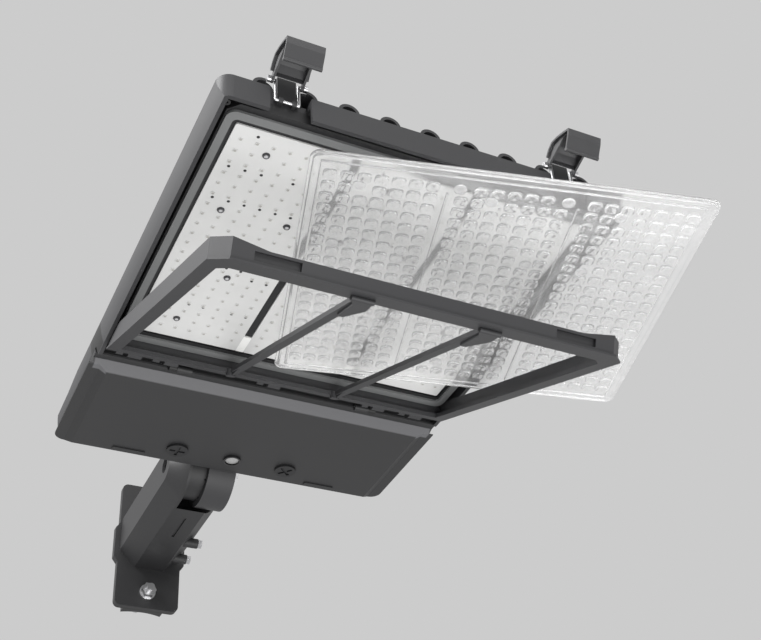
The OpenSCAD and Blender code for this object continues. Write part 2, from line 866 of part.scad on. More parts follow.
module cover_pins() {
    color(steel_color)
        at_head()
            for (s = [-1, 1])
                translate([s * (cover_hinge_x + barrel_w / 4), 0, 0])
                    bar_x(-0.7 * barrel_w, 0.7 * barrel_w, cover_hinge_y, cover_hinge_z, cover_pin_r);
}

// Sleeves that take the captive screws; they stand on the compartment roof.
module screw_sockets() {
    low = cover_t + face_gap - pan_d;
    color(steel_color)
        at_head()
            for (s = [-1, 1])
                translate([s * captive_x, captive_y, low])
                    difference() {
                        cylinder(h = roof_z - low, r = socket_r + socket_t);
                        translate([0, 0, -over])
                            cylinder(h = roof_z - low + overs, r = socket_r);
                    }
}

module compartment_seal() {
    color(seal_color)
        at_head()
            intersection() {
                compartment_groove();
                span([-side_x, 0, part_z], [side_x, head_len, wall_h]);
            }
}

module driver() {
    color(plastic_color)
        at_head()
            difference() {
                translate([-0.42 * head_w, driver_y, roof_z - driver_h])
                    cube([driver_len, driver_w, driver_h]);
                for (s = [0, 1])
                    translate([-0.42 * head_w + s * driver_len, driver_y + driver_w / 2,
                        roof_z - driver_h - over])
                        cylinder(h = driver_h + overs, r = driver_w / 8);
            }
}

module surge_protector() {
    color([0.2, 0.2, 0.22])
        at_head()
            translate([0.16 * head_w, driver_y + wall_t, roof_z - surge_h])
                cube([surge_len, surge_w, surge_h]);
}

module terminal_block() {
    color([0.85, 0.85, 0.8])
        at_head()
            translate([-terminal_len / 2, driver_y + driver_w + wall_t, roof_z - terminal_h])
                difference() {
                    cube([terminal_len, terminal_w, terminal_h]);
                    for (k = [0 : 4])
                        translate([(k + 0.5) * terminal_len / 5, terminal_w / 2, -over])
                            cylinder(h = terminal_h / 2, r = terminal_len / 16);
                }
}

module frame_outline(x, y0, y1, cham) {
    polygon([[-x + cham, y0], [x - cham, y0], [x, y0 + cham], [x, y1], [-x, y1], [-x, y0 + cham]]);
}

module lug_bars() {
    for (l = lug_shares)
        bar_x(l[0] * head_w, l[1] * head_w, hinge_y, hinge_z, hinge_lug_r);
}

// Swings a piece of the frame open about the hinge line.
module swung() {
    translate([0, hinge_y, hinge_z])
        rotate([door_open, 0, 0])
            translate([0, -hinge_y, -hinge_z])
                children();
}

// Standing walls of the frame: high at the sides and corners, lower along the front and the rear.
module frame_walls() {
    x = frame_wall_x - frame_cham;
    fall = 2.2 * frame_cham;
    difference() {
        translate([0, 0, -frame_drop])
            linear_extrude(frame_wall_h)
                frame_outline(frame_wall_x, frame_wall_y0, frame_y1, frame_cham);
        along(0, frame_y1 + over)
            polygon([[-x, frame_top_z + over], [-x, frame_top_z], [fall - x, frame_end_z],
                [x - fall, frame_end_z], [x, frame_top_z], [x, frame_top_z + over]]);
        span([-side_x, frame_y1 - flange_rear_w, frame_end_z], [side_x, frame_y1 + over, frame_top_z + over]);
    }
}

// Cast frame: lip, flange, standing walls, cross straps, latch windows and hinge lugs.
module lens_frame() {
    back_y = frame_wall_y0 + frame_wall_t;
    boss_y = frame_in_y1 + strap_boss_r / 4;
    color(cast_color)
        at_head()
            swung()
                difference() {
                    union() {
                        difference() {
                            union() {
                                translate([0, 0, -frame_drop])
                                    linear_extrude(lip_t)
                                        frame_outline(frame_x, frame_y0, frame_y1, frame_cham);
                                frame_walls();
                            }
                            translate([0, 0, flange_z])
                                linear_extrude(frame_wall_h)
                                    frame_outline(frame_wall_x - frame_wall_t, back_y,
                                        frame_y1 - frame_wall_t, frame_cham - 0.6 * frame_wall_t);
                            translate([0, 0, -frame_drop - over])
                                linear_extrude(frame_wall_h)
                                    frame_outline(frame_in_x, frame_in_y0, frame_in_y1, 0.57 * frame_cham);
                            for (s = [-1, 1])
                                span([s * latch_x - recess_w / 2 - over, frame_y0, flange_z],
                                    [s * latch_x + recess_w / 2 + over, back_y + over,
                                        frame_end_z - window_edge]);
                        }
                        for (s = [-1, 1]) {
                            span([s * latch_x - recess_w / 2 - window_edge, back_y, flange_z - window_back],
                                [s * latch_x + recess_w / 2 + window_edge, back_y + window_back,
                                    frame_end_z]);
                            span([s * strap_x - strap_w / 2, frame_in_y0 - over, flange_z - strap_t],
                                [s * strap_x + strap_w / 2, frame_in_y1 + over, flange_z]);
                            translate([s * strap_x - strap_boss_r / 2, boss_y, -frame_drop - strap_boss_h])
                                cylinder(h = strap_boss_h + flange_t, r = strap_boss_r);
                            across(s * strap_x - strap_boss_r / 2, s * strap_x)
                                polygon([[boss_y, -frame_drop - strap_boss_h], [boss_y, flange_z],
                                    [boss_y - 5 * strap_boss_r, flange_z], [boss_y - 5 * strap_boss_r, -frame_drop]]);
                        }
                        lug_bars();
                        for (l = lug_shares)
                            span([l[0] * head_w, frame_y1 - frame_wall_t, hinge_z - hinge_pin_r],
                                [l[1] * head_w, hinge_y, hinge_z + hinge_lug_r]);
                    }
                    bar_x(-side_x, side_x, hinge_y, hinge_z, hinge_pin_r + run_gap);
                }
}

// Clips under the front flange: a web plate that narrows along its strap, with a roll at its root.
module lens_clips() {
    low = -frame_drop;
    y0 = frame_in_y0 - 0.16 * clip_len;
    color(cast_color)
        at_head()
            swung()
                for (s = [-1, 1])
                    translate([s * strap_x, y0, low]) {
                        translate([0, 0, -clip_t])
                            linear_extrude(clip_t)
                                polygon([[-clip_x, 0], [clip_x, 0], [1.35 * clip_x, 0.46 * clip_len],
                                    [0.5 * clip_x, clip_len], [0, clip_len], [-0.2 * clip_x, 0.3 * clip_len]]);
                        intersection() {
                            bar_x(-clip_x, clip_x, 0, -0.7 * clip_t, 1.1 * clip_t);
                            span([-clip_x, -clip_t - clip_t, -clip_t - clip_t], [clip_x, clip_t + clip_t, 0]);
                        }
                    }
}

module at_lens() {
    at_head()
        translate([lens_x, lens_y, -lens_drop])
            rotate([lens_nod, lens_lean, -lens_turn])
                children();
}

module lens_ring(inset, w) {
    difference() {
        plan_round(-lens_w / 2 + inset, lens_w / 2 - inset, -lens_len / 2 + inset, lens_len / 2 - inset,
            lens_r - inset / 2);
        plan_round(-lens_w / 2 + inset + w, lens_w / 2 - inset - w, -lens_len / 2 + inset + w,
            lens_len / 2 - inset - w, lens_r - inset / 2 - w / 2);
    }
}

// Moulded sheet with a double ridge and three fields of small lenses, hollow behind each.
module lens() {
    color([0.8, 0.84, 0.86, 0.6])
        at_lens()
            union() {
                translate([0, 0, -lens_t / 2])
                    linear_extrude(lens_t)
                        plan_round(-lens_w / 2, lens_w / 2, -lens_len / 2, lens_len / 2, lens_r);
                for (i = [0, 1])
                    translate([0, 0, -lens_t / 2 - ridge_h])
                        linear_extrude(ridge_h + lens_t / 2)
                            lens_ring((1.2 + 3.2 * i) * ridge_w, ridge_w);
                for (k = [-1 : 1], i = [0 : cell_cols - 1], j = [0 : cell_rows - 1])
                    if (cell_used(i, j))
                        translate([k * board_pitch + i * cell_x - cells_w / 2, j * cell_y - cells_len / 2,
                            -lens_t / 2 - bead_h])
                            cylinder(h = bead_h + lens_t / 4, d1 = 0.62 * bead_d, d2 = bead_d, $fn = 20);
                for (k = [-1 : 1], h = hole_shares)
                    translate([k * board_pitch + h[0] * board_w, (h[1] - 0.5) * board_len,
                        -lens_t / 2 - ridge_h])
                        cylinder(h = ridge_h + lens_t / 4, d = 0.8 * cell_x);
            }
}

// Outline of the cover across the head, drawn in by a wall thickness.
module pan_section(t, top) {
    polygon([[-head_w / 2 - side_bulge + t + t * 0.8, top], [-head_w / 2 - side_bulge + t + t * 0.8, t],
        [-head_w / 2 + pan_slope + t, t * 0.7], [-head_w / 2 + pan_edge + t / 2, t - pan_d],
        [head_w / 2 - pan_edge - t / 2, t - pan_d], [head_w / 2 - pan_slope - t, t * 0.7],
        [head_w / 2 + side_bulge - t - t * 0.8, t], [head_w / 2 + side_bulge - t - t * 0.8, top]]);
}

// Side view of the cover, drawn in by a wall thickness.
module pan_profile(t, top) {
    polygon([[cover_front + t, top], [cover_front + t, band_z + t], [band_top + t, band_z + t],
        [band_low + t, t - pan_d], [head_len - rear_step - t / 2, t - pan_d],
        [head_len - t, t / 2], [head_len - t, top]]);
}

module cover_solid() {
    top = part_z - face_gap;
    intersection() {
        union() {
            along(cover_front, head_len)
                wall_section(0, top);
            along(cover_front, head_len)
                pan_section(0, over);
        }
        across(-side_x, side_x)
            pan_profile(0, top);
        translate([0, 0, -pan_d])
            linear_extrude(pan_d + top)
                plan_round(-side_x, side_x, -corner_r, head_len, corner_r);
    }
}

// Cast pan with sloped sides, hinge barrels, tabs and the holes for its fittings.
module driver_cover() {
    color(cast_color)
        at_head()
            difference() {
                union() {
                    difference() {
                        cover_solid();
                        intersection() {
                            along(cover_front, head_len)
                                pan_section(cover_t, part_z + over);
                            across(-side_x, side_x)
                                pan_profile(cover_t, part_z + over);
                        }
                    }
                    for (s = [-1, 1]) {
                        bar_x(s * cover_hinge_x - barrel_w / 2, s * cover_hinge_x + barrel_w / 2,
                            cover_hinge_y, cover_hinge_z, barrel_r);
                        span([s * cover_hinge_x - barrel_w / 2, cover_hinge_y, band_z],
                            [s * cover_hinge_x + barrel_w / 2, cover_front + over, part_z - face_gap]);
                        translate([s * tab_x, rear_y - rear_t - tab_w / 2, -pan_d - tab_h])
                            linear_extrude(tab_h + over)
                                plan_round(-tab_len / 2, tab_len / 2, 0, tab_w, tab_h);
                    }
                }
                for (s = [-1, 1])
                    translate([s * captive_x, captive_y, -pan_d - over])
                        cylinder(h = cover_t + overs, r = captive_hole_r);
                translate([0, captive_y, -pan_d - over])
                    cylinder(h = cover_t + overs, d = window_d - 2 * window_rim);
                bar_x(-side_x, side_x, cover_hinge_y, cover_hinge_z, cover_pin_r + run_gap);
                bar_x(cheek_x0, lug_w / 2 + face_gap, knuckle_y, knuckle_z, notch_r);
                for (s = [-1, 1])
                    span([s * (cover_hinge_x + 0.75 * barrel_w + face_gap) - barrel_w / 4 - face_gap,
                        cover_front - over, 0],
                        [s * (cover_hinge_x + 0.75 * barrel_w + face_gap) + barrel_w / 4 + face_gap,
                            cover_hinge_y + barrel_r + over, part_z]);
            }
}

// Quarter-turn screw with a cross recess, held captive by its collar.
module captive_screw(s) {
    color(steel_color)
        at_head()
            translate([s * captive_x, captive_y, -pan_d])
                difference() {
                    union() {
                        translate([0, 0, -captive_head_h])
                            cylinder(h = captive_head_h, d = captive_head_d);
                        cylinder(h = captive_len, d = captive_d);
                        translate([0, 0, cover_t + run_gap])
                            cylinder(h = collar_w, r = captive_d / 2 + collar_w);
                    }
                    rotate([0, 0, s * 22.5 + 22.5])
                        for (a = [0, 90])
                            rotate([0, 0, a])
                                span([-0.36 * captive_head_d, -0.07 * captive_head_d, -captive_head_h - over],
                                    [0.36 * captive_head_d, 0.07 * captive_head_d, -captive_head_h / 2]);
                }
}

module captive_screw_left() {
    captive_screw(-1);
}

module captive_screw_right() {
    captive_screw(1);
}

module sensor_bezel() {
    color([0.75, 0.75, 0.76])
        at_head()
            translate([0, captive_y, -pan_d - bezel_h])
                difference() {
                    cylinder(h = bezel_h, d = bezel_d);
                    translate([0, 0, -over])
                        cylinder(h = bezel_h + overs, d = window_d);
                }
}

// Dark dome behind the bezel, with its stem through the pan.
module sensor_window() {
    dome_r = window_d * 0.9;
    color([0.08, 0.08, 0.1])
        at_head()
            translate([0, captive_y, -pan_d])
                union() {
                    intersection() {
                        translate([0, 0, dome_r - bezel_h])
                            sphere(r = dome_r);
                        translate([0, 0, -bezel_h])
                            cylinder(h = bezel_h, d = window_d - 2 * run_gap);
                    }
                    translate([0, 0, -bezel_h / 2])
                        cylinder(h = cover_t + bezel_h, d = window_d - 2 * (window_rim + run_gap));
                }
}

// Wire bail: its foot turns in the recess ears and its outturned ends carry lever and rollers.
module latch_link(x) {
    top_z = link_z + link_len;
    color(steel_color)
        at_head()
            translate([x, 0, 0])
                union() {
                    bar_x(-link_w / 2, link_w / 2, link_y, link_z, wire_d / 2);
                    for (s = [-1, 1]) {
                        translate([s * link_w / 2, link_y, link_z])
                            cylinder(h = link_len, d = wire_d);
                        for (z = [link_z, top_z])
                            translate([s * link_w / 2, link_y, z])
                                sphere(d = wire_d);
                        bar_x(s > 0 ? link_w / 2 : -recess_w / 2 + face_gap,
                            s > 0 ? recess_w / 2 - face_gap : -link_w / 2, link_y, top_z, wire_d / 2);
                    }
                }
}

module latch_link_left() {
    latch_link(-latch_x);
}

module latch_link_right() {
    latch_link(latch_x);
}

module latch_rollers(x) {
    color(steel_color)
        at_head()
            translate([x, 0, 0])
                for (s = [-1, 1])
                    difference() {
                        translate([s * (recess_w / 2 - roller_r / 2 - 2 * face_gap), 0, 0])
                            bar_x(-roller_r / 2, roller_r / 2, link_y, link_z + link_len, roller_r);
                        bar_x(-recess_w, recess_w, link_y, link_z + link_len, wire_d / 2 + run_gap);
                    }
}

module latch_rollers_left() {
    latch_rollers(-latch_x);
}

module latch_rollers_right() {
    latch_rollers(latch_x);
}

// One straight run of sheet between two points of the lever's side view.
module sheet(a, b, t) {
    translate(a)
        rotate(atan2(b[1] - a[1], b[0] - a[0]))
            translate([0, -t / 2])
                square([norm(b - a), t]);
    translate(b)
        circle(d = t);
}

module latch_lever(x) {
    pts = [for (p = lever_shares) p * link_len];
    last = pts[len(pts) - 1];
    color([0.36, 0.36, 0.37])
        at_head()
            translate([x, link_y, link_z + link_len])
                difference() {
                    union() {
                        across(-lever_w / 2, lever_w / 2) {
                            for (i = [0 : len(pts) - 2])
                                sheet(pts[i], pts[i + 1], lever_t);
                            translate(last)
                                circle(r = lip_r);
                        }
                        for (s = [-1, 1])
                            translate([s * (link_w / 2 + wire_d), 0, 0])
                                across(-lever_t / 2, lever_t / 2) {
                                    circle(r = roller_r);
                                    polygon([[-0.05 * link_len, -0.1 * link_len], pts[4], pts[3], pts[2],
                                        pts[1], [-0.02 * link_len, 0.12 * link_len]]);
                                }
                    }
                    bar_x(-lever_w, lever_w, 0, 0, wire_d / 2 + run_gap);
                }
}

module latch_lever_left() {
    latch_lever(-latch_x);
}

module latch_lever_right() {
    latch_lever(latch_x);
}

// Places a piece on the knuckle line.
module at_knuckle() {
    translate([0, -arm_reach, knuckle_up])
        children();
}

module arm_section(t) {
    w = arm_w / 2 - t;
    h = arm_half_h - t;
    cw = arm_cham - 0.4 * t;
    ch = arm_cham_h - 0.4 * t;
    polygon([[-w, -h + ch], [-w + cw, -h], [w - cw, -h], [w, -h + ch], [w, h - ch], [w - cw, h], [-w + cw, h],
        [-w, h - ch]]);
}

// Cast arm: chamfered box section whose left cheek ends in the round knuckle boss.
module arm() {
    boss_x1 = lug_face_x - face_gap;
    disc_x1 = boss_x1 - arm_cham;
    color(cast_color)
        at_knuckle()
            difference() {
                union() {
                    difference() {
                        along(0, arm_len)
                            arm_section(0);
                        bar_x(disc_x1, arm_w, 0, 0, pocket_r);
                        along(1.4 * pocket_r, arm_len + over)
                            arm_section(arm_t);
                    }
                    translate([arm_x0, 0, 0])
                        rotate([0, 90, 0])
                            cylinder(h = arm_cham, r1 = cheek_r, r2 = arm_half_h);
                    bar_x(arm_x0 + arm_cham, disc_x1, 0, 0, arm_half_h);
                    bar_x(disc_x1 - over, boss_x1, 0, 0, boss_r);
                    for (y = ear_y)
                        bar_x(arm_w / 4, arm_w / 2 + arm_t / 2, y, ear_z, arm_t);
                }
                bar_x(arm_x0 - over, boss_x1 + over, 0, 0, bolt_d / 2 + run_gap);
                bar_x(arm_x0 - over, arm_x0 + access_d, 0, 0, access_w / 2);
                knuckle_grooves(boss_x1, groove_h);
                span([0, 0.95 * knuckle_r, -arm_half_h - over], [seam_w, 2.1 * knuckle_r, -arm_half_h + seam_d]);
                for (y = ear_y)
                    bar_x(arm_w / 4 - over, arm_w, y, ear_z, arm_t / 2 + run_gap);
            }
}

module knuckle_bolt() {
    color(steel_color)
        at_knuckle()
            difference() {
                union() {
                    bar_x(arm_x0 + access_d - bolt_head_h, arm_x0 + access_d, 0, 0, bolt_head_d / 2);
                    bar_x(arm_x0 + access_d - over, nut_x0 + nut_t + bolt_tip, 0, 0, bolt_d / 2);
                }
                translate([arm_x0 + access_d - bolt_head_h - over, 0, 0])
                    rotate([0, 90, 0])
                        cylinder(h = bolt_head_h / 2 + over, d = bolt_d, $fn = 6);
            }
}

module knuckle_washer() {
    color(steel_color)
        at_knuckle()
            difference() {
                bar_x(nut_x0 - washer_t, nut_x0, 0, 0, bolt_d);
                bar_x(nut_x0 - 2 * washer_t, nut_x0 + over, 0, 0, bolt_d / 2 + run_gap);
            }
}

module knuckle_nut() {
    color(steel_color)
        at_knuckle()
            difference() {
                translate([nut_x0, 0, 0])
                    rotate([0, 90, 0])
                        cylinder(h = nut_t, r = 0.88 * bolt_d, $fn = 6);
                bar_x(nut_x0 - over, nut_x0 + nut_t + over, 0, 0, bolt_d / 2 + run_gap);
            }
}

// Two hexagon bolts in the ears on the arm's right lower chamfer.
module side_bolts() {
    color(steel_color)
        at_knuckle()
            for (y = ear_y)
                translate([arm_w / 2 + arm_t / 2, y, ear_z])
                    rotate([0, 90, 0])
                        union() {
                            cylinder(h = 0.8 * arm_t, r = 0.95 * arm_t, $fn = 6);
                            translate([0, 0, -3 * arm_t])
                                cylinder(h = 3.2 * arm_t, r = arm_t / 2);
                        }
}

// The plate seen from the front: rounded corners, and sides that swell out at mid height.
module plate_outline() {
    w = plate_w / 2;
    h = plate_h / 2;
    swell = w + plate_bulge;
    side = [[w, 0.32 * h], [swell, 0.24 * h]];
    turn = [for (a = [0 : 22.5 : 90]) [w + plate_r * (cos(a) - 1), h + plate_r * (sin(a) - 1)]];
    quarter = concat([side[1], side[0]], turn);
    n = len(quarter) - 1;
    polygon(concat([for (i = [0 : n]) quarter[i]], [for (i = [n : -1 : 0]) [-quarter[i][0], quarter[i][1]]],
        [for (i = [0 : n]) -quarter[i]], [for (i = [n : -1 : 0]) [quarter[i][0], -quarter[i][1]]]));
}

module stud_bars(y0, y1, r) {
    for (s = [-1, 1])
        bar_y(y0, y1, 0, s * stud_gap / 2, r);
}

module pole_plate() {
    color(cast_color)
        difference() {
            along(arm_y1, plate_y)
                plate_outline();
            stud_bars(arm_y1 - over, plate_y + over, stud_d / 2 + run_gap);
            bar_y(arm_y1 - over, plate_y + over, 0, knuckle_up, 1.6 * wire_hole_r);
        }
}

module pole_seal() {
    color([0.1, 0.1, 0.1])
        difference() {
            along(plate_y, plate_y + pole_seal_t)
                plate_outline();
            stud_bars(plate_y - over, over, stud_d / 2 + run_gap);
            bar_y(plate_y - over, over, 0, knuckle_up, 1.6 * wire_hole_r);
        }
}

// Saddle between the flat plate and the round pole.
module pole_adapter() {
    deep = pole_r - sqrt(pole_r * pole_r - adapter_w * adapter_w / 4);
    color(cast_color)
        difference() {
            span([-adapter_w / 2, -adapter_t, -adapter_h / 2], [adapter_w / 2, deep, adapter_h / 2]);
            translate([0, pole_r, -adapter_h])
                cylinder(h = 2 * adapter_h, r = pole_r, $fn = 96);
            stud_bars(-adapter_t - over, adapter_w, stud_d / 2 + run_gap);
            bar_y(-adapter_t - over, adapter_w, 0, knuckle_up, wire_hole_r);
            stud_bars(-spot_d, adapter_w, spot_r);
            bar_y(-spot_d, adapter_w, 0, knuckle_up, spot_r);
        }
}

module pole_studs() {
    color(steel_color)
        union() {
            stud_bars(arm_y1 - stud_front, over, stud_in_d / 2);
            stud_bars(0, stud_back, stud_d / 2);
        }
}

module pole_washers() {
    color(steel_color)
        difference() {
            stud_bars(arm_y1 - stud_d / 5, arm_y1, washer_r);
            stud_bars(arm_y1 - stud_d, arm_y1 + over, stud_in_d / 2 + run_gap);
        }
}

module pole_nuts() {
    color(steel_color)
        difference() {
            for (s = [-1, 1])
                translate([0, arm_y1 - stud_d / 5 - nut_h, s * stud_gap / 2])
                    rotate([-90, 0, 0])
                        cylinder(h = nut_h, r = nut_r, $fn = 6);
            stud_bars(arm_y1 - 2 * stud_d, arm_y1, stud_in_d / 2 + run_gap);
        }
}

housing();
lens_seal();
board_left();
board_middle();
board_right();
board_screws();
board_links();
frame_pins();
cover_pins();
screw_sockets();
compartment_seal();
driver();
surge_protector();
terminal_block();
lens_frame();
lens_clips();
lens();
driver_cover();
captive_screw_left();
captive_screw_right();
sensor_bezel();
sensor_window();
latch_link_left();
latch_link_right();
latch_rollers_left();
latch_rollers_right();
latch_lever_left();
latch_lever_right();
arm();
knuckle_bolt();
knuckle_washer();
knuckle_nut();
side_bolts();
pole_plate();
pole_seal();
pole_adapter();
pole_studs();
pole_washers();
pole_nuts();
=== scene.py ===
"""Shoebox area light, opened for service and seen from below: lens frame swung down, lens drawn out."""
import json
import math

import bpy
import numpy as np
from mathutils import Euler, Matrix, Vector


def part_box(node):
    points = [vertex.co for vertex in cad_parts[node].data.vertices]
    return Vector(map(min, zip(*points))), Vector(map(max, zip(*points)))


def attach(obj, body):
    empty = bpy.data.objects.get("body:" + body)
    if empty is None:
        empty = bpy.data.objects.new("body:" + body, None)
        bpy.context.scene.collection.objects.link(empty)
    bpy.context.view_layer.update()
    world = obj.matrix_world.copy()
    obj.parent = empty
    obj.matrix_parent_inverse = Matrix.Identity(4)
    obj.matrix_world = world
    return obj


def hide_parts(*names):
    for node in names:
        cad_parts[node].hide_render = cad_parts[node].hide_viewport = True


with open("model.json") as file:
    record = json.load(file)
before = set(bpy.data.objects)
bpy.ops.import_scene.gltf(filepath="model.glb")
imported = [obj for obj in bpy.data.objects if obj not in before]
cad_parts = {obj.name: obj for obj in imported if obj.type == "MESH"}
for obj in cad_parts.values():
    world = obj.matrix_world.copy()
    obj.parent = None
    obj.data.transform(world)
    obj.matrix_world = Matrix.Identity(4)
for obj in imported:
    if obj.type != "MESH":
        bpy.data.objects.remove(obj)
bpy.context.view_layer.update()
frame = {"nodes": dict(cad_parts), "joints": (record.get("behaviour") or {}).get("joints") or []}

# Camera. It stands low in front of the light, to its left, and looks up at the open lamp head. Its
# focal length is given in pixels of a picture 761 pixels wide, its place in metres, its turns in radians.
picture_px = 761.0
focal_px = 1250.775
sensor_mm = 36.0
camera_spot = (-0.38494, -1.41493, -0.75260)
look_turn = 0.48554
look_up = 0.65587
look_roll = -0.06989
camera_data = bpy.data.cameras.new("camera")
camera_data.sensor_width = sensor_mm
camera_data.lens = sensor_mm * focal_px / picture_px
camera_data.clip_start = 0.05
camera_data.clip_end = 60.0
camera = bpy.data.objects.new("camera", camera_data)
look = Euler((math.pi / 2 + look_up, 0.0, -look_turn)).to_matrix() @ Matrix.Rotation(look_roll, 3, "Z")
camera.matrix_world = Matrix.Translation(camera_spot) @ look.to_4x4()
scene = bpy.context.scene
scene.collection.objects.link(camera)
scene.camera = camera

# Studio. A pale even surround and a pale floor far below the light. A large soft box stands at the
# left, a weaker one in front, and a small one below the head lights the boards and the lens.
scene.view_settings.view_transform = "Standard"
surround_level = 0.604
fill_level = 0.70
floor_reach = 6.0
floor_z = -1.6
floor_tone = 0.62
floor_rough = 0.9


def set_inputs(node, **values):
    """Puts each value into the node's input of the same name, where _ stands for a space."""
    for label, value in values.items():
        node.inputs[label.replace("_", " ")].default_value = value
    return node


def add_node(tree, kind, **values):
    """A shader node of that kind, with these input values."""
    return set_inputs(tree.nodes.new("ShaderNode" + kind), **values)


def studio_world():
    """World light: the fill level where it falls on the object, and the surround itself where a camera,
    mirror or glass ray sees it. The mix factor is the largest of those three ray flags."""
    world = bpy.data.worlds.new("studio")
    scene.world = world
    world.use_nodes = True
    tree = world.node_tree
    tree.nodes.clear()
    path = add_node(tree, "LightPath")
    seen_share = path.outputs["Is Camera Ray"]
    for flag in ("Is Glossy Ray", "Is Transmission Ray"):
        either = add_node(tree, "Math")
        either.operation = "MAXIMUM"
        tree.links.new(seen_share, either.inputs[0])
        tree.links.new(path.outputs[flag], either.inputs[1])
        seen_share = either.outputs[0]
    surround = (surround_level, surround_level, surround_level, 1.0)
    lit = add_node(tree, "Background", Color=(1.0, 1.0, 1.0, 1.0), Strength=fill_level)
    seen = add_node(tree, "Background", Color=surround, Strength=1.0)
    mix = add_node(tree, "MixShader")
    out = add_node(tree, "OutputWorld")
    tree.links.new(seen_share, mix.inputs["Fac"])
    tree.links.new(lit.outputs[0], mix.inputs[1])
    tree.links.new(seen.outputs[0], mix.inputs[2])
    tree.links.new(mix.outputs[0], out.inputs["Surface"])


def soft_box(name, spot, aim, size, power):
    """A rectangular lamp at spot that faces aim: its -Z axis runs along aim - spot. Metres and watts."""
    data = bpy.data.lights.new(name, "AREA")
    data.shape = "RECTANGLE"
    data.size = size[0]
    data.size_y = size[1]
    data.energy = power
    lamp = bpy.data.objects.new(name, data)
    facing = (Vector(aim) - Vector(spot)).to_track_quat("-Z", "Y").to_matrix().to_4x4()
    lamp.matrix_world = Matrix.Translation(spot) @ facing
    scene.collection.objects.link(lamp)


studio_world()
soft_box("left_box", spot=(-2.4, -0.5, 1.3), aim=(0.0, -0.45, 0.0), size=(2.2, 1.6), power=165.0)
soft_box("front_box", spot=(-0.4, -3.0, 0.9), aim=(0.0, -0.6, 0.0), size=(2.0, 1.2), power=36.0)
soft_box("low_box", spot=(0.22, -1.42, -1.32), aim=(0.0, -0.42, 0.0), size=(1.3, 0.9), power=15.0)

floor_corners = floor_reach * np.array([[-1, -1], [1, -1], [1, 1], [-1, 1]])
floor_points = np.column_stack([floor_corners, np.full(4, floor_z)])
floor_mesh = bpy.data.meshes.new("floor")
floor_mesh.from_pydata(floor_points.tolist(), [], [(0, 1, 2, 3)])
floor = bpy.data.objects.new("floor", floor_mesh)
scene.collection.objects.link(floor)
floor_skin = bpy.data.materials.new("floor_skin")
floor_skin.use_nodes = True
set_inputs(floor_skin.node_tree.nodes["Principled BSDF"], Roughness=floor_rough,
           Base_Color=(floor_tone, floor_tone, floor_tone, 1.0))
floor_mesh.materials.append(floor_skin)

# Housing. A die-cast aluminium tray with two screw tubes on the roof of its wiring compartment. Its
# dark grey powder coat has a fine orange peel and a little dust. Shade is painted into the coat's
# colour in the deep tray round the boards and in the narrow channel at the frame's hinge.
tray_box = ((-0.1665, -0.7695, -0.0032), (0.2065, -0.4008, 0.0165))
hinge_channel_box = ((-0.19, -0.4215, -0.0032), (0.23, -0.3845, 0.03))
tray_shade = 0.35
hinge_channel_shade = 0.06
peel_depth = 0.0004


def new_group(name, inputs, outputs):
    """An empty shader node group: (group, its input sockets, its output sockets). The sockets are given
    as {name: kind}."""
    group = bpy.data.node_groups.new(name, "ShaderNodeTree")
    for way, sockets in (("INPUT", inputs), ("OUTPUT", outputs)):
        for label, kind in sockets.items():
            group.interface.new_socket(label, in_out=way, socket_type="NodeSocket" + kind)
    come = group.nodes.new("NodeGroupInput")
    go = group.nodes.new("NodeGroupOutput")
    return group, come.outputs, go.inputs


def add_group(tree, group, **values):
    """The node group as one node of this tree, with its own values."""
    node = tree.nodes.new("ShaderNodeGroup")
    node.node_tree = group
    return set_inputs(node, **values)


def coat_group():
    """Powder coat: colour goes from Coat towards Dust by up to 0.22 as a slow noise rises from 0.45 to
    0.75, roughness = 0.46 + 0.12 x slow noise, height = a fine noise of the peel's scale."""
    group, come, go = new_group("powder_coat", {"Coat": "Color", "Dust": "Color", "Peel Scale": "Float"},
                                {"Color": "Color", "Roughness": "Float", "Height": "Float"})
    place = add_node(group, "TexCoord").outputs["Object"]
    cloud = add_node(group, "TexNoise", Scale=9.0, Detail=4.0)
    peel = add_node(group, "TexNoise", Detail=2.0)
    share = add_node(group, "MapRange", From_Min=0.45, From_Max=0.75, To_Max=0.22)
    rough = add_node(group, "MapRange", To_Min=0.46, To_Max=0.58)
    blend = add_node(group, "Mix")
    blend.data_type = "RGBA"
    link = group.links.new
    link(place, cloud.inputs["Vector"])
    link(place, peel.inputs["Vector"])
    link(come["Peel Scale"], peel.inputs["Scale"])
    link(cloud.outputs["Fac"], share.inputs["Value"])
    link(share.outputs["Result"], blend.inputs["Factor"])
    link(come["Coat"], blend.inputs["A"])
    link(come["Dust"], blend.inputs["B"])
    link(cloud.outputs["Fac"], rough.inputs["Value"])
    link(blend.outputs["Result"], go["Color"])
    link(rough.outputs["Result"], go["Roughness"])
    link(peel.outputs["Fac"], go["Height"])
    return group


def painted_light_mask_group():
    """Mask of a box of the part, from its Low to its High corner: the least of the distances to its six
    sides, which rises from 0 at 0.2 mm outside to 1 at 0.8 mm inside."""
    group, come, go = new_group("painted_light_mask", {"Low": "Vector", "High": "Vector"}, {"Mask": "Float"})
    place = add_node(group, "TexCoord").outputs["Object"]
    link = group.links.new

    def combine(kind, operation, first, second):
        node = add_node(group, kind)
        node.operation = operation
        link(first, node.inputs[0])
        link(second, node.inputs[1])
        return node.outputs[0]

    inside = combine("VectorMath", "MINIMUM", combine("VectorMath", "SUBTRACT", place, come["Low"]),
                     combine("VectorMath", "SUBTRACT", come["High"], place))
    axes = add_node(group, "SeparateXYZ")
    link(inside, axes.inputs[0])
    x, y, z = axes.outputs
    fade = add_node(group, "MapRange", From_Min=-0.0002, From_Max=0.0008)
    link(combine("Math", "MINIMUM", combine("Math", "MINIMUM", x, y), z), fade.inputs["Value"])
    link(fade.outputs["Result"], go["Mask"])
    return group


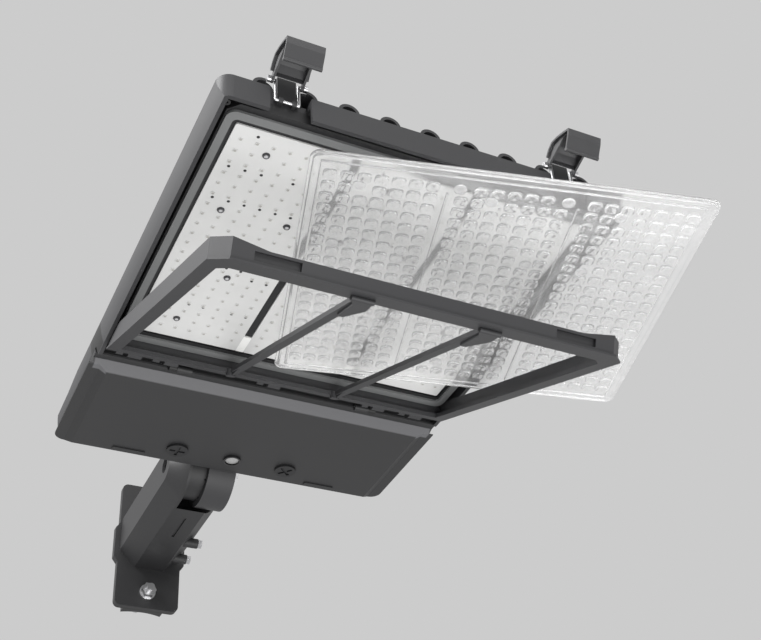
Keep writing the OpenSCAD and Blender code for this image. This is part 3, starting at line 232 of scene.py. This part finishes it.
powder_coat = coat_group()
painted_light_mask = painted_light_mask_group()


def wear_surface(finish, surface, bump, depth):
    """The surface group gives the finish its colour and roughness, and its height x bump x depth stands
    up as a bump."""
    tree = finish.node_tree
    skin = tree.nodes["Principled BSDF"]
    tree.links.new(surface.outputs["Color"], skin.inputs["Base Color"])
    tree.links.new(surface.outputs["Roughness"], skin.inputs["Roughness"])
    if bump:
        raised = add_node(tree, "Bump", Strength=bump, Distance=depth)
        tree.links.new(surface.outputs["Height"], raised.inputs["Height"])
        tree.links.new(raised.outputs["Normal"], skin.inputs["Normal"])


def coat_finish(name, coat, dust, peel_scale=900.0, bump=0.12):
    """Powder-coated metal: the peel stands as high as its noise x bump x 0.4 mm."""
    finish = bpy.data.materials.new(name)
    finish.use_nodes = True
    surface = add_group(finish.node_tree, powder_coat, Coat=(*coat, 1.0), Dust=(*dust, 1.0),
                        Peel_Scale=peel_scale)
    wear_surface(finish, surface, bump, peel_depth)
    return finish


def paint_light_in_box(finish, corners, share):
    """Paints light or shade into the finish: multiplies its colour by share inside the box between the two
    corners. A share under 1 paints shade there, and a share over 1 paints a highlight.
    """
    tree = finish.node_tree
    base = tree.nodes["Principled BSDF"].inputs["Base Color"]
    plain = base.links[0].from_socket
    recess = add_group(tree, painted_light_mask, Low=corners[0], High=corners[1])
    tone = add_node(tree, "Mix")
    tone.data_type = "RGBA"
    tone.blend_type = "MULTIPLY"
    set_inputs(tone, B=(share, share, share, 1.0))
    tree.links.new(recess.outputs["Mask"], tone.inputs["Factor"])
    tree.links.new(plain, tone.inputs["A"])
    tree.links.new(tone.outputs["Result"], base)


def dress(finish, *names):
    """These CAD nodes wear the finish."""
    for name in names:
        mesh = frame["nodes"][name].data
        mesh.materials.clear()
        mesh.materials.append(finish)


housing_coat = coat_finish("housing_coat", coat=(0.026, 0.026, 0.028), dust=(0.042, 0.042, 0.042))
# Painted shade: the coat's colour is multiplied by tray_shade in the tray and by hinge_channel_shade in the
# hinge channel.
paint_light_in_box(housing_coat, tray_box, tray_shade)
paint_light_in_box(housing_coat, hinge_channel_box, hinge_channel_shade)
dress(housing_coat, "housing", "screw_sockets")

# Seals. Loops of soft grey silicone, pressed into the ledge round the boards and into the groove of
# the wiring compartment, and a black rubber pad between the mount and the pole.
tone_drift = (0.94, 1.05)
rough_drift = (0.85, 1.15)
grain_depth = 0.0003


def surface_group():
    """Plain surface: with a slow noise the colour runs from Dark to Pale and the roughness from Smooth
    to Rough, and the height is a fine noise of the grain's scale."""
    group, come, go = new_group("plain_surface", {"Dark": "Color", "Pale": "Color", "Smooth": "Float",
                                                  "Rough": "Float", "Grain Scale": "Float"},
                                {"Color": "Color", "Roughness": "Float", "Height": "Float"})
    place = add_node(group, "TexCoord").outputs["Object"]
    cloud = add_node(group, "TexNoise", Scale=40.0)
    fine = add_node(group, "TexNoise")
    gloss = add_node(group, "MapRange")
    tint = add_node(group, "Mix")
    tint.data_type = "RGBA"
    link = group.links.new
    link(place, cloud.inputs["Vector"])
    link(place, fine.inputs["Vector"])
    link(come["Grain Scale"], fine.inputs["Scale"])
    link(cloud.outputs["Fac"], tint.inputs["Factor"])
    link(come["Dark"], tint.inputs["A"])
    link(come["Pale"], tint.inputs["B"])
    link(cloud.outputs["Fac"], gloss.inputs["Value"])
    link(come["Smooth"], gloss.inputs["To Min"])
    link(come["Rough"], gloss.inputs["To Max"])
    link(tint.outputs["Result"], go["Color"])
    link(gloss.outputs["Result"], go["Roughness"])
    link(fine.outputs["Fac"], go["Height"])
    return group


plain_surface = surface_group()


def plain_finish(name, colour, rough, metal=0.0, grain=0.0, grain_scale=600.0):
    """Uncoated material: colour from 0.94 to 1.05 of its value and roughness from 0.85 to 1.15, and a
    grain as high as its noise x grain x 0.3 mm."""
    finish = bpy.data.materials.new(name)
    finish.use_nodes = True
    set_inputs(finish.node_tree.nodes["Principled BSDF"], Metallic=metal)
    dark = [tone * tone_drift[0] for tone in colour]
    pale = [min(1.0, tone * tone_drift[1]) for tone in colour]
    surface = add_group(finish.node_tree, plain_surface, Dark=(*dark, 1.0), Pale=(*pale, 1.0),
                        Smooth=rough * rough_drift[0], Rough=rough * rough_drift[1],
                        Grain_Scale=grain_scale)
    wear_surface(finish, surface, grain, grain_depth)
    return finish


seal_skin = plain_finish("seal_skin", (0.15, 0.153, 0.153), 0.6, grain=0.15)
dress(seal_skin, "lens_seal", "compartment_seal")
rubber_skin = plain_finish("rubber_skin", (0.02, 0.02, 0.02), 0.7, grain=0.2)
dress(rubber_skin, "pole_seal")

# Emitter boards. Three aluminium boards with white solder mask, joined by two white plug-in bridges.
# Each has a grid of 7 by 20 chips, less those where a screw head or a boss of the lens needs room.
cell_columns = 7
cell_rows = 20
cell_margin = np.array([0.00945, 0.01525])
screw_room = 0.45
chip_rise = 0.0007
board_low, board_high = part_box("board_middle")
board_size = np.array([board_high.x - board_low.x, board_high.y - board_low.y])
board_centre = np.array([board_high.x + board_low.x, board_high.y + board_low.y]) / 2
board_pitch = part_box("board_right")[0].x - board_low.x
chip_face = board_low.z
board_face = chip_face + chip_rise
cell_step = (board_size - 2 * cell_margin) / [cell_columns - 1, cell_rows - 1]
first_cell = cell_margin - board_size / 2
screw_shares = np.array([[-0.166, 0.085], [-0.286, 0.347], [0.296, 0.345], [0.06, 0.64], [-0.169, 0.898]])
screw_places = (screw_shares - [0.0, 0.5]) * board_size
boss_reach = 0.002


def on_each_field(places):
    """The same places on the left, middle and right board, or on the three fields of the lens."""
    return np.concatenate([places + [k * board_pitch, 0.0] for k in (-1, 0, 1)])


def cell_places():
    """Centres of the chips and of the lenses that belong to them, from the middle of the middle board: a grid
    in each field, less those within 0.45 of a step of a screw, and less the two front corners of the
    middle field, where the lens has bosses."""
    column, row = np.meshgrid(np.arange(cell_columns), np.arange(cell_rows), indexing="ij")
    grid = first_cell + np.stack([column.ravel(), row.ravel()], axis=1) * cell_step
    gap = np.min(np.linalg.norm(grid[:, None] - screw_places, axis=2), axis=1)
    cells = on_each_field(grid[gap > screw_room * cell_step[0]])
    corner = np.abs(np.abs(cells[:, 0]) + first_cell[0]) < boss_reach
    return cells[~(corner & (cells[:, 1] < first_cell[1] + boss_reach))]


cells = cell_places()


def ring(sides, start=0.0):
    """Points of the unit circle at (n + start) / sides of a turn, n from 0."""
    angle = (np.arange(sides) + start) / sides * 2 * np.pi
    return np.stack([np.cos(angle), np.sin(angle)], axis=1)


def joined_loops(loops, heights):
    """Points and faces of a closed skin. Neighbouring loops are joined by quads, and the first and the
    last loop are closed by one flat face each. Loops run anticlockwise; where they go down instead of
    up, the faces are turned round, so that they still point out. Faces come as one array of quads and
    one of the two ends."""
    rows, count = loops.shape[:2]
    levels = np.repeat(np.asarray(heights)[:, None, None], count, axis=1)
    points = np.concatenate([loops, levels], axis=2).reshape(-1, 3)
    index = np.arange(rows * count).reshape(rows, count)
    low, high = index[:-1], index[1:]
    quads = np.stack([low, np.roll(low, -1, 1), np.roll(high, -1, 1), high], axis=2).reshape(-1, 4)
    ends = np.stack([index[0][::-1], index[-1]])
    if heights[-1] < heights[0]:
        return points, [quads[:, ::-1], ends[:, ::-1]]
    return points, [quads, ends]


def copies(points, faces, centres):
    """The same small shape at every centre, as one mesh: its points + (centre, 0), and faces that count
    on from those of the copy before."""
    shifts = np.column_stack([centres, np.zeros(len(centres))])
    starts = np.arange(len(centres)) * len(points)
    moved = (points + shifts[:, None]).reshape(-1, 3)
    return moved, [(part + starts[:, None, None]).reshape(-1, part.shape[1]) for part in faces]


def piece_from(name, points, faces, finish, body, place=Matrix.Identity(4), smooth=40.0):
    """A piece that rides on a body. Its points are written where they belong, as place x point, so its
    object stays at the origin."""
    mesh = bpy.data.meshes.new(name)
    placed = points @ np.array(place.to_3x3()).T + np.array(place.translation)
    mesh.from_pydata(placed.tolist(), [], [face for part in faces for face in part.tolist()])
    mesh.materials.append(finish)
    mesh.update()
    mesh.set_sharp_from_angle(angle=math.radians(smooth))
    mesh.polygons.foreach_set("use_smooth", np.ones(len(mesh.polygons), dtype=bool))
    piece = bpy.data.objects.new(name, mesh)
    scene.collection.objects.link(piece)
    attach(piece, body)
    return piece


board_skin = plain_finish("board_skin", (0.60, 0.60, 0.593), 0.42)
dress(board_skin, "board_left", "board_middle", "board_right")
link_skin = plain_finish("link_skin", (0.85, 0.85, 0.83), 0.4)
dress(link_skin, "board_links")

# Phosphor pads. A drop of yellowish phosphor is cast on every chip, as a low dome that is drawn with
# eight sides. Its base lies a hair inside the chip's face.
pad_sides = 8
pad_radii = np.array([0.0014, 0.0013, 0.0008])
pad_heights = [0.0, -0.00012, -0.0002]
pad_sink = 0.00001
chip_ring = ring(pad_sides, 0.5)
pad_points, pad_faces = joined_loops(chip_ring * pad_radii[:, None, None], pad_heights)
pad_points, pad_faces = copies(pad_points, pad_faces, cells + board_centre)
phosphor_skin = plain_finish("phosphor_skin", (0.36, 0.355, 0.33), 0.3)
emitter_pads = piece_from("emitter_pads", pad_points, pad_faces, phosphor_skin, "head",
                          Matrix.Translation((0.0, 0.0, chip_face + pad_sink)))

# Test points. Small dark solder spots that stand in rows between the chips, the same on each board.
# The rows are measured from the middle of a board: its length first, then the places across it.
point_radii = np.array([0.0015, 0.0014, 0.0009])
point_heights = [0.0, -0.0003, -0.0005]
point_rows = {
    -0.1396: (-0.0315,),
    -0.0986: (-0.0426, -0.0279, -0.0131, 0.0162),
    -0.0575: (-0.0428, -0.0280, -0.0134, 0.0012, 0.0159, 0.0305),
    0.0287: (0.0013, 0.0155),
    0.0381: (0.0298, 0.0446),
    0.0926: (-0.0138, 0.0005, 0.0295, 0.0441),
}
point_places = np.array([(x, y) for y, row in point_rows.items() for x in row])
dot_points, dot_faces = joined_loops(chip_ring * point_radii[:, None, None], point_heights)
dot_points, dot_faces = copies(dot_points, dot_faces, on_each_field(point_places) + board_centre)
point_skin = plain_finish("test_point_skin", (0.012, 0.012, 0.013), 0.35)
test_points = piece_from("test_points", dot_points, dot_faces, point_skin, "head",
                         Matrix.Translation((0.0, 0.0, board_face)))

# Board screws. Fifteen pan heads of turned steel, five to a board, that clamp the boards to the
# housing. Shade is painted on the rim, which wears a dark copy of the steel, and a highlight on the
# pressed socket in its middle, which wears the bright steel.
screw_sides = 16
rim_rows = 3
screw_radii = np.array([0.0034, 0.0034, 0.0029, 0.0019, 0.0016, 0.0008])
screw_heights = [0.0, -0.0008, -0.0017, -0.0019, -0.0011, -0.0008]
screw_spots = on_each_field(screw_places) + board_centre
head_points, head_faces = joined_loops(ring(screw_sides) * screw_radii[:, None, None], screw_heights)
socket_quads = np.arange(len(head_faces[0])) >= rim_rows * screw_sides
head_points, head_faces = copies(head_points, head_faces, screw_spots)
steel_skin = plain_finish("steel_skin", (0.62, 0.62, 0.63), 0.3, metal=1.0, grain=0.05)
rim_shade_skin = plain_finish("screw_rim_shade_skin", (0.10, 0.10, 0.105), 0.35, metal=1.0)
board_screw_heads = piece_from("board_screw_heads", head_points, head_faces, rim_shade_skin, "head",
                               Matrix.Translation((0.0, 0.0, board_face)))
board_screw_heads.data.materials.append(steel_skin)
# Painted highlight: the socket's faces and the two end faces wear the bright steel, and the rim wears the
# painted shade.
bright = np.concatenate([np.tile(socket_quads, len(screw_spots)), np.ones(len(head_faces[1]), dtype=bool)])
board_screw_heads.data.polygons.foreach_set("material_index", bright.astype(np.int32))
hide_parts("board_screws")

# Compartment contents. The driver and the surge protector have cases of black moulded plastic, and the
# terminal block is white. They are fixed inside the wiring compartment, behind the cover.
black_skin = plain_finish("black_skin", (0.03, 0.03, 0.032), 0.45, grain=0.1)
dress(black_skin, "driver", "surge_protector")
dress(link_skin, "terminal_block")

# Lens frame. A cast frame with two cross straps and two clips for the lens. It hangs on five short
# pins in the housing's lugs, and wears the same kind of coat as the housing, with a little less dust.
frame_coat = coat_finish("frame_coat", coat=(0.025, 0.025, 0.027), dust=(0.036, 0.036, 0.036))
dress(frame_coat, "lens_frame", "lens_clips")

# Lens sheet. One moulded sheet of clear, slightly milky plastic, with two ridges round its border. It
# reaches past the boards on all sides. Here it lies loose on the open frame, drawn out to the right
# and turned a little.
lens_reach = np.array([0.00935, 0.0097])
lens_index = 1.49
shadow_pass = 0.93
lens_corner = 0.009
lens_z = -0.0221
lens_tilt = (math.radians(0.74), math.radians(3.78), math.radians(-15.86))
cell_half = np.array([0.0062, 0.0058])
least_corner = 0.0005
sheet_rough = 0.14
cell_rough = 0.0
lens_size = board_size + [2 * board_pitch, 0.0] + 2 * lens_reach
lens_low, lens_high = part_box("lens")
lens_spot = ((lens_low.x + lens_high.x) / 2, (lens_low.y + lens_high.y) / 2, lens_z)
lens_place = Matrix.Translation(lens_spot) @ Euler(lens_tilt).to_matrix().to_4x4()
# Each row is the inset from the edge and the height, from the top round the edge to the underside.
sheet_profile = np.array([
    [0.0200, 0.0013], [0.0010, 0.0013], [0.0003, 0.0010], [0.0000, 0.0005], [0.0000, -0.0005],
    [0.0003, -0.0010], [0.0010, -0.0013], [0.0024, -0.0013], [0.0030, -0.0023], [0.0036, -0.0027],
    [0.0042, -0.0023], [0.0050, -0.0013], [0.0093, -0.0013], [0.0099, -0.0023], [0.0106, -0.0027],
    [0.0113, -0.0023], [0.0119, -0.0013], [0.0200, -0.0013]])


def round_loops(size, corner, insets, turns=8):
    """Loops of a rounded rectangle, one for each inset: each corner arc has turns + 1 points, and its
    radius is the corner less the inset, never under 0.5 mm."""
    arc = np.linspace(0.0, np.pi / 2, turns + 1)
    loops = []
    for inset in insets:
        radius = max(corner - inset, least_corner)
        points = []
        for start, side in ((0.0, (1, 1)), (0.5, (-1, 1)), (1.0, (-1, -1)), (1.5, (1, -1))):
            angle = arc + start * np.pi
            x = side[0] * (size[0] / 2 - inset - radius) + radius * np.cos(angle)
            y = side[1] * (size[1] / 2 - inset - radius) + radius * np.sin(angle)
            points.append(np.stack([x, y], axis=1))
        loops.append(np.concatenate(points))
    return np.array(loops)


def lens_finish(name, colour, clear, rough):
    """Clear plastic: the clear share of the light passes, and the rest scatters in the milky body. Of
    the shadow rays 0.93 pass, as the thin sheet shades the boards only a little."""
    finish = plain_finish(name, colour, rough)
    tree = finish.node_tree
    skin = set_inputs(tree.nodes["Principled BSDF"], Transmission_Weight=clear, IOR=lens_index)
    path = add_node(tree, "LightPath")
    through = add_node(tree, "BsdfTransparent")
    share = add_node(tree, "Math")
    share.operation = "MULTIPLY"
    share.inputs[1].default_value = shadow_pass
    mix = add_node(tree, "MixShader")
    tree.links.new(path.outputs["Is Shadow Ray"], share.inputs[0])
    tree.links.new(share.outputs[0], mix.inputs[0])
    tree.links.new(skin.outputs[0], mix.inputs[1])
    tree.links.new(through.outputs[0], mix.inputs[2])
    tree.links.new(mix.outputs[0], tree.nodes["Material Output"].inputs["Surface"])
    return finish


def cell_mask_group():
    """Mask: 1 where a small lens stands on the sheet, 0 on the plain sheet. Along and across the lens,
    x is wrapped into one field and then into one cell, y into one cell, and the lens is where
    |x / half width|^3 + |y / half length|^3 stays under 1."""
    group, _, go = new_group("cell_mask", {}, {"Mask": "Float"})

    def calculate(operation, *terms):
        node = add_node(group, "Math")
        node.operation = operation
        for socket, term in zip(node.inputs, terms):
            if isinstance(term, float):
                socket.default_value = term
            else:
                group.links.new(term, socket)
        return node.outputs[0]

    def wrap(term, width):
        return calculate("WRAP", term, float(width / 2), float(-width / 2))

    def within(term, reach):
        return calculate("LESS_THAN", calculate("ABSOLUTE", term), float(reach))

    def cubed(term, half):
        return calculate("POWER", calculate("DIVIDE", calculate("ABSOLUTE", term), float(half)), 3.0)

    turned = add_node(group, "Mapping", Location=lens_spot, Rotation=lens_tilt)
    turned.vector_type = "TEXTURE"
    axes = add_node(group, "SeparateXYZ")
    group.links.new(add_node(group, "TexCoord").outputs["Object"], turned.inputs["Vector"])
    group.links.new(turned.outputs[0], axes.inputs[0])
    across, along = axes.outputs[0], axes.outputs[1]
    in_field = wrap(across, board_pitch)
    cell_x = wrap(in_field, cell_step[0])
    cell_y = wrap(calculate("ADD", along, float(-first_cell[1])), cell_step[1])
    shape = calculate("ADD", cubed(cell_x, cell_half[0]), cubed(cell_y, cell_half[1]))
    field_reach = cell_columns / 2 * cell_step[0]
    in_columns = calculate("MULTIPLY", calculate("LESS_THAN", shape, 1.0), within(in_field, field_reach))
    in_grid = calculate("MULTIPLY", within(across, board_pitch + field_reach),
                        within(along, cell_rows / 2 * cell_step[1]))
    group.links.new(calculate("MULTIPLY", in_columns, in_grid), go["Mask"])
    return group


def clear_cells(finish, plain, in_cell):
    """The sheet's roughness: plain between the small lenses, in_cell under them."""
    tree = finish.node_tree
    mask = add_group(tree, cell_mask_group())
    span = add_node(tree, "MapRange", To_Min=plain, To_Max=in_cell)
    tree.links.new(mask.outputs["Mask"], span.inputs["Value"])
    tree.links.new(span.outputs["Result"], tree.nodes["Principled BSDF"].inputs["Roughness"])


sheet_points, sheet_faces = joined_loops(round_loops(lens_size, lens_corner, sheet_profile[:, 0]),
                                         sheet_profile[:, 1])
sheet_skin = lens_finish("lens_sheet_skin", (0.94, 0.94, 0.94), clear=0.88, rough=sheet_rough)
clear_cells(sheet_skin, sheet_rough, cell_rough)
lens_sheet = piece_from("lens_sheet", sheet_points, sheet_faces, sheet_skin, "loose_lens", lens_place)
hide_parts("lens")

# Small lenses. One for each chip, moulded in one with the sheet. Each is a rounded square bump on
# the underside, 12.4 by 11.6 mm and 2.3 mm high, with a shallow dimple in its middle.
optic_sides = 16
optic_power = 0.6
# Each row is the share of the full size, the height, and how much the top drops at its two sides.
optic_profile = np.array([
    [1.00, -0.0008, 0.0], [0.98, -0.0020, 0.0], [0.90, -0.0029, 0.0001], [0.76, -0.0034, 0.0003],
    [0.56, -0.0036, 0.0005], [0.34, -0.0029, 0.0005], [0.14, -0.0024, 0.0002]])


def small_lens():
    """One lens: a ring point at angle a is (|cos a|^0.6, |sin a|^0.6) x the half size, with the signs
    kept, and it lies lower by the row's drop x (cos 2a - 0.5 sin a)."""
    angle = (np.arange(optic_sides) + 0.5) / optic_sides * 2 * np.pi
    round_ring = ring(optic_sides, 0.5)
    square_ring = np.sign(round_ring) * np.abs(round_ring) ** optic_power * cell_half
    shares, heights, drops = optic_profile.T
    points, faces = joined_loops(square_ring * shares[:, None, None], heights)
    points[:, 2] -= np.outer(drops, np.cos(2 * angle) - 0.5 * np.sin(angle)).ravel()
    return points, faces


optic_points, optic_faces = copies(*small_lens(), cells)
optic_skin = lens_finish("lens_optic_skin", (1.0, 1.0, 1.0), clear=0.96, rough=0.02)
lens_optics = piece_from("lens_optics", optic_points, optic_faces, optic_skin, "loose_lens", lens_place)
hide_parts("lens")

# Lens bosses. Round pads of the sheet, milkier than the rest. There is one for each board screw, and
# two more take the front corners of the middle field.
boss_sides = 20
boss_radii = np.array([0.0059, 0.0057, 0.0050, 0.0032, 0.0026])
boss_heights = [-0.0008, -0.0022, -0.0027, -0.0027, -0.0021]
corner_bosses = np.array([[-0.0475, -0.1325], [0.0475, -0.1325]])
boss_points, boss_faces = joined_loops(ring(boss_sides) * boss_radii[:, None, None], boss_heights)
boss_spots = np.concatenate([on_each_field(screw_places), corner_bosses])
boss_points, boss_faces = copies(boss_points, boss_faces, boss_spots)
boss_skin = lens_finish("lens_boss_skin", (0.85, 0.85, 0.85), clear=0.80, rough=0.2)
lens_bosses = piece_from("lens_bosses", boss_points, boss_faces, boss_skin, "loose_lens", lens_place)
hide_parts("lens")

# Lens ribs. Two thin stiffening ribs of the same plastic, moulded on the underside of the sheet
# between its fields.
rib_size = (0.0022, 0.262)
rib_corner = 0.0011
rib_insets = [0.0, 0.0, 0.0004]
rib_heights = [-0.0008, -0.0028, -0.0034]
rib_places = np.array([[-0.0576, 0.004], [0.0576, 0.004]])
rib_points, rib_faces = joined_loops(round_loops(rib_size, rib_corner, rib_insets, turns=4), rib_heights)
rib_points, rib_faces = copies(rib_points, rib_faces, rib_places)
lens_ribs = piece_from("lens_ribs", rib_points, rib_faces, optic_skin, "loose_lens", lens_place)
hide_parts("lens")

# Driver cover. A cast pan that closes the wiring compartment, in a darker coat than the housing. A
# highlight is painted along its front lip. Two captive screws hold it, and a motion sensor sits in its
# middle.
lip_highlight_box = ((-0.17, -0.3885, -0.0083), (0.21, -0.3765, 0.008))
lip_highlight_gain = 6.0
cover_coat = coat_finish("cover_coat", coat=(0.018, 0.018, 0.019), dust=(0.025, 0.025, 0.025))
# Painted highlight: the coat's colour is made six times brighter along the front lip.
paint_light_in_box(cover_coat, lip_highlight_box, lip_highlight_gain)
dress(cover_coat, "driver_cover")
screw_coat = coat_finish("screw_coat", coat=(0.008, 0.008, 0.009), dust=(0.012, 0.012, 0.012))
dress(screw_coat, "captive_screw_left", "captive_screw_right")
bezel_skin = plain_finish("bezel_skin", (0.012, 0.012, 0.013), 0.3)
dress(bezel_skin, "sensor_bezel")
window_skin = plain_finish("window_skin", (0.31, 0.31, 0.31), 0.35, grain=0.6, grain_scale=1800.0)
dress(window_skin, "sensor_window")

# Latches. Each has a lever of folded steel sheet, with a finer peel in its coat than the castings
# have. It turns on a wire link, and a folded channel behind the link's two legs stiffens it.
fine_peel = 1400.0
fine_bump = 0.06
fold_angle = 25.0
channel_half = 0.0085
channel_wall = 0.0011
channel_front = 0.0008
channel_rear = 0.0042
channel_levels = [0.0022, 0.0026, 0.0285, 0.0290]
channel_narrowing = np.array([0.94, 1.0, 1.0, 0.94])
# Where each hinge turns. A slide has no such place.
hinge_spots = {joint["name"]: joint.get("pos_m") for joint in frame["joints"]}
lever_coat = coat_finish("lever_coat", (0.036, 0.036, 0.038), (0.06, 0.06, 0.06), fine_peel, fine_bump)
dress(lever_coat, "latch_lever_left", "latch_lever_right")
channel_coat = coat_finish("channel_coat", (0.022, 0.022, 0.023), (0.03, 0.03, 0.03), fine_peel, fine_bump)
channel_in = channel_half - channel_wall
channel_web = channel_front + channel_wall
channel_outline = np.array([
    [-channel_half, channel_front], [channel_half, channel_front], [channel_half, channel_rear],
    [channel_in, channel_rear], [channel_in, channel_web], [-channel_in, channel_web],
    [-channel_in, channel_rear], [-channel_half, channel_rear]])
channel_widths = np.column_stack([channel_narrowing, np.ones(4)])
channel_points, channel_faces = joined_loops(channel_outline * channel_widths[:, None], channel_levels)
for side in ("left", "right"):
    channel = piece_from("latch_channel_" + side, channel_points, channel_faces, channel_coat,
                         "link_" + side, Matrix.Translation(hinge_spots["link_swing_" + side]), fold_angle)

# Lever webs. The end of each lever's plate, folded over between its two cheeks, in front of the wire.
# The outline is given in the plane in which the lever turns, and the web runs across it.
web_outline = np.array([[-0.0056, 0.0052], [-0.0052, 0.0030], [-0.0049, 0.0004], [-0.0041, 0.0003],
                        [-0.0043, 0.0030], [-0.0044, 0.0044]])
web_levels = [-0.0121, -0.0117, 0.0117, 0.0121]
along_x = Matrix(((0.0, 0.0, 1.0, 0.0), (1.0, 0.0, 0.0, 0.0), (0.0, 1.0, 0.0, 0.0), (0.0, 0.0, 0.0, 1.0)))
web_points, web_faces = joined_loops(np.repeat(web_outline[None], 4, axis=0), web_levels)
for side in ("left", "right"):
    lever_spot = Matrix.Translation(hinge_spots["lever_throw_" + side])
    lever_web = piece_from("lever_web_" + side, web_points, web_faces, lever_coat, "lever_" + side,
                           lever_spot @ along_x, fold_angle)

# Mount. A cast arm that clamps the knuckle, with a plate and an adapter for the pole. They are
# coated like the head, in a darker coat.
mount_coat = coat_finish("mount_coat", coat=(0.012, 0.012, 0.013), dust=(0.024, 0.024, 0.024))
dress(mount_coat, "arm")
plate_coat = coat_finish("plate_coat", coat=(0.013, 0.013, 0.014), dust=(0.02, 0.02, 0.02))
dress(plate_coat, "pole_plate", "pole_adapter")

# Steel parts. Pins, wire links, rollers, washers, nuts, studs and the knuckle's bolt are turned or bent
# from bright steel. The two side bolts are a darker steel with a coarse skin.
dress(steel_skin, "frame_pins", "cover_pins", "latch_link_left", "latch_link_right",
      "latch_rollers_left", "latch_rollers_right", "knuckle_bolt", "knuckle_washer", "knuckle_nut",
      "pole_studs", "pole_washers", "pole_nuts")
bolt_skin = plain_finish("bolt_skin", (0.40, 0.40, 0.41), 0.28, metal=1.0, grain=0.9, grain_scale=700.0)
dress(bolt_skin, "side_bolts")
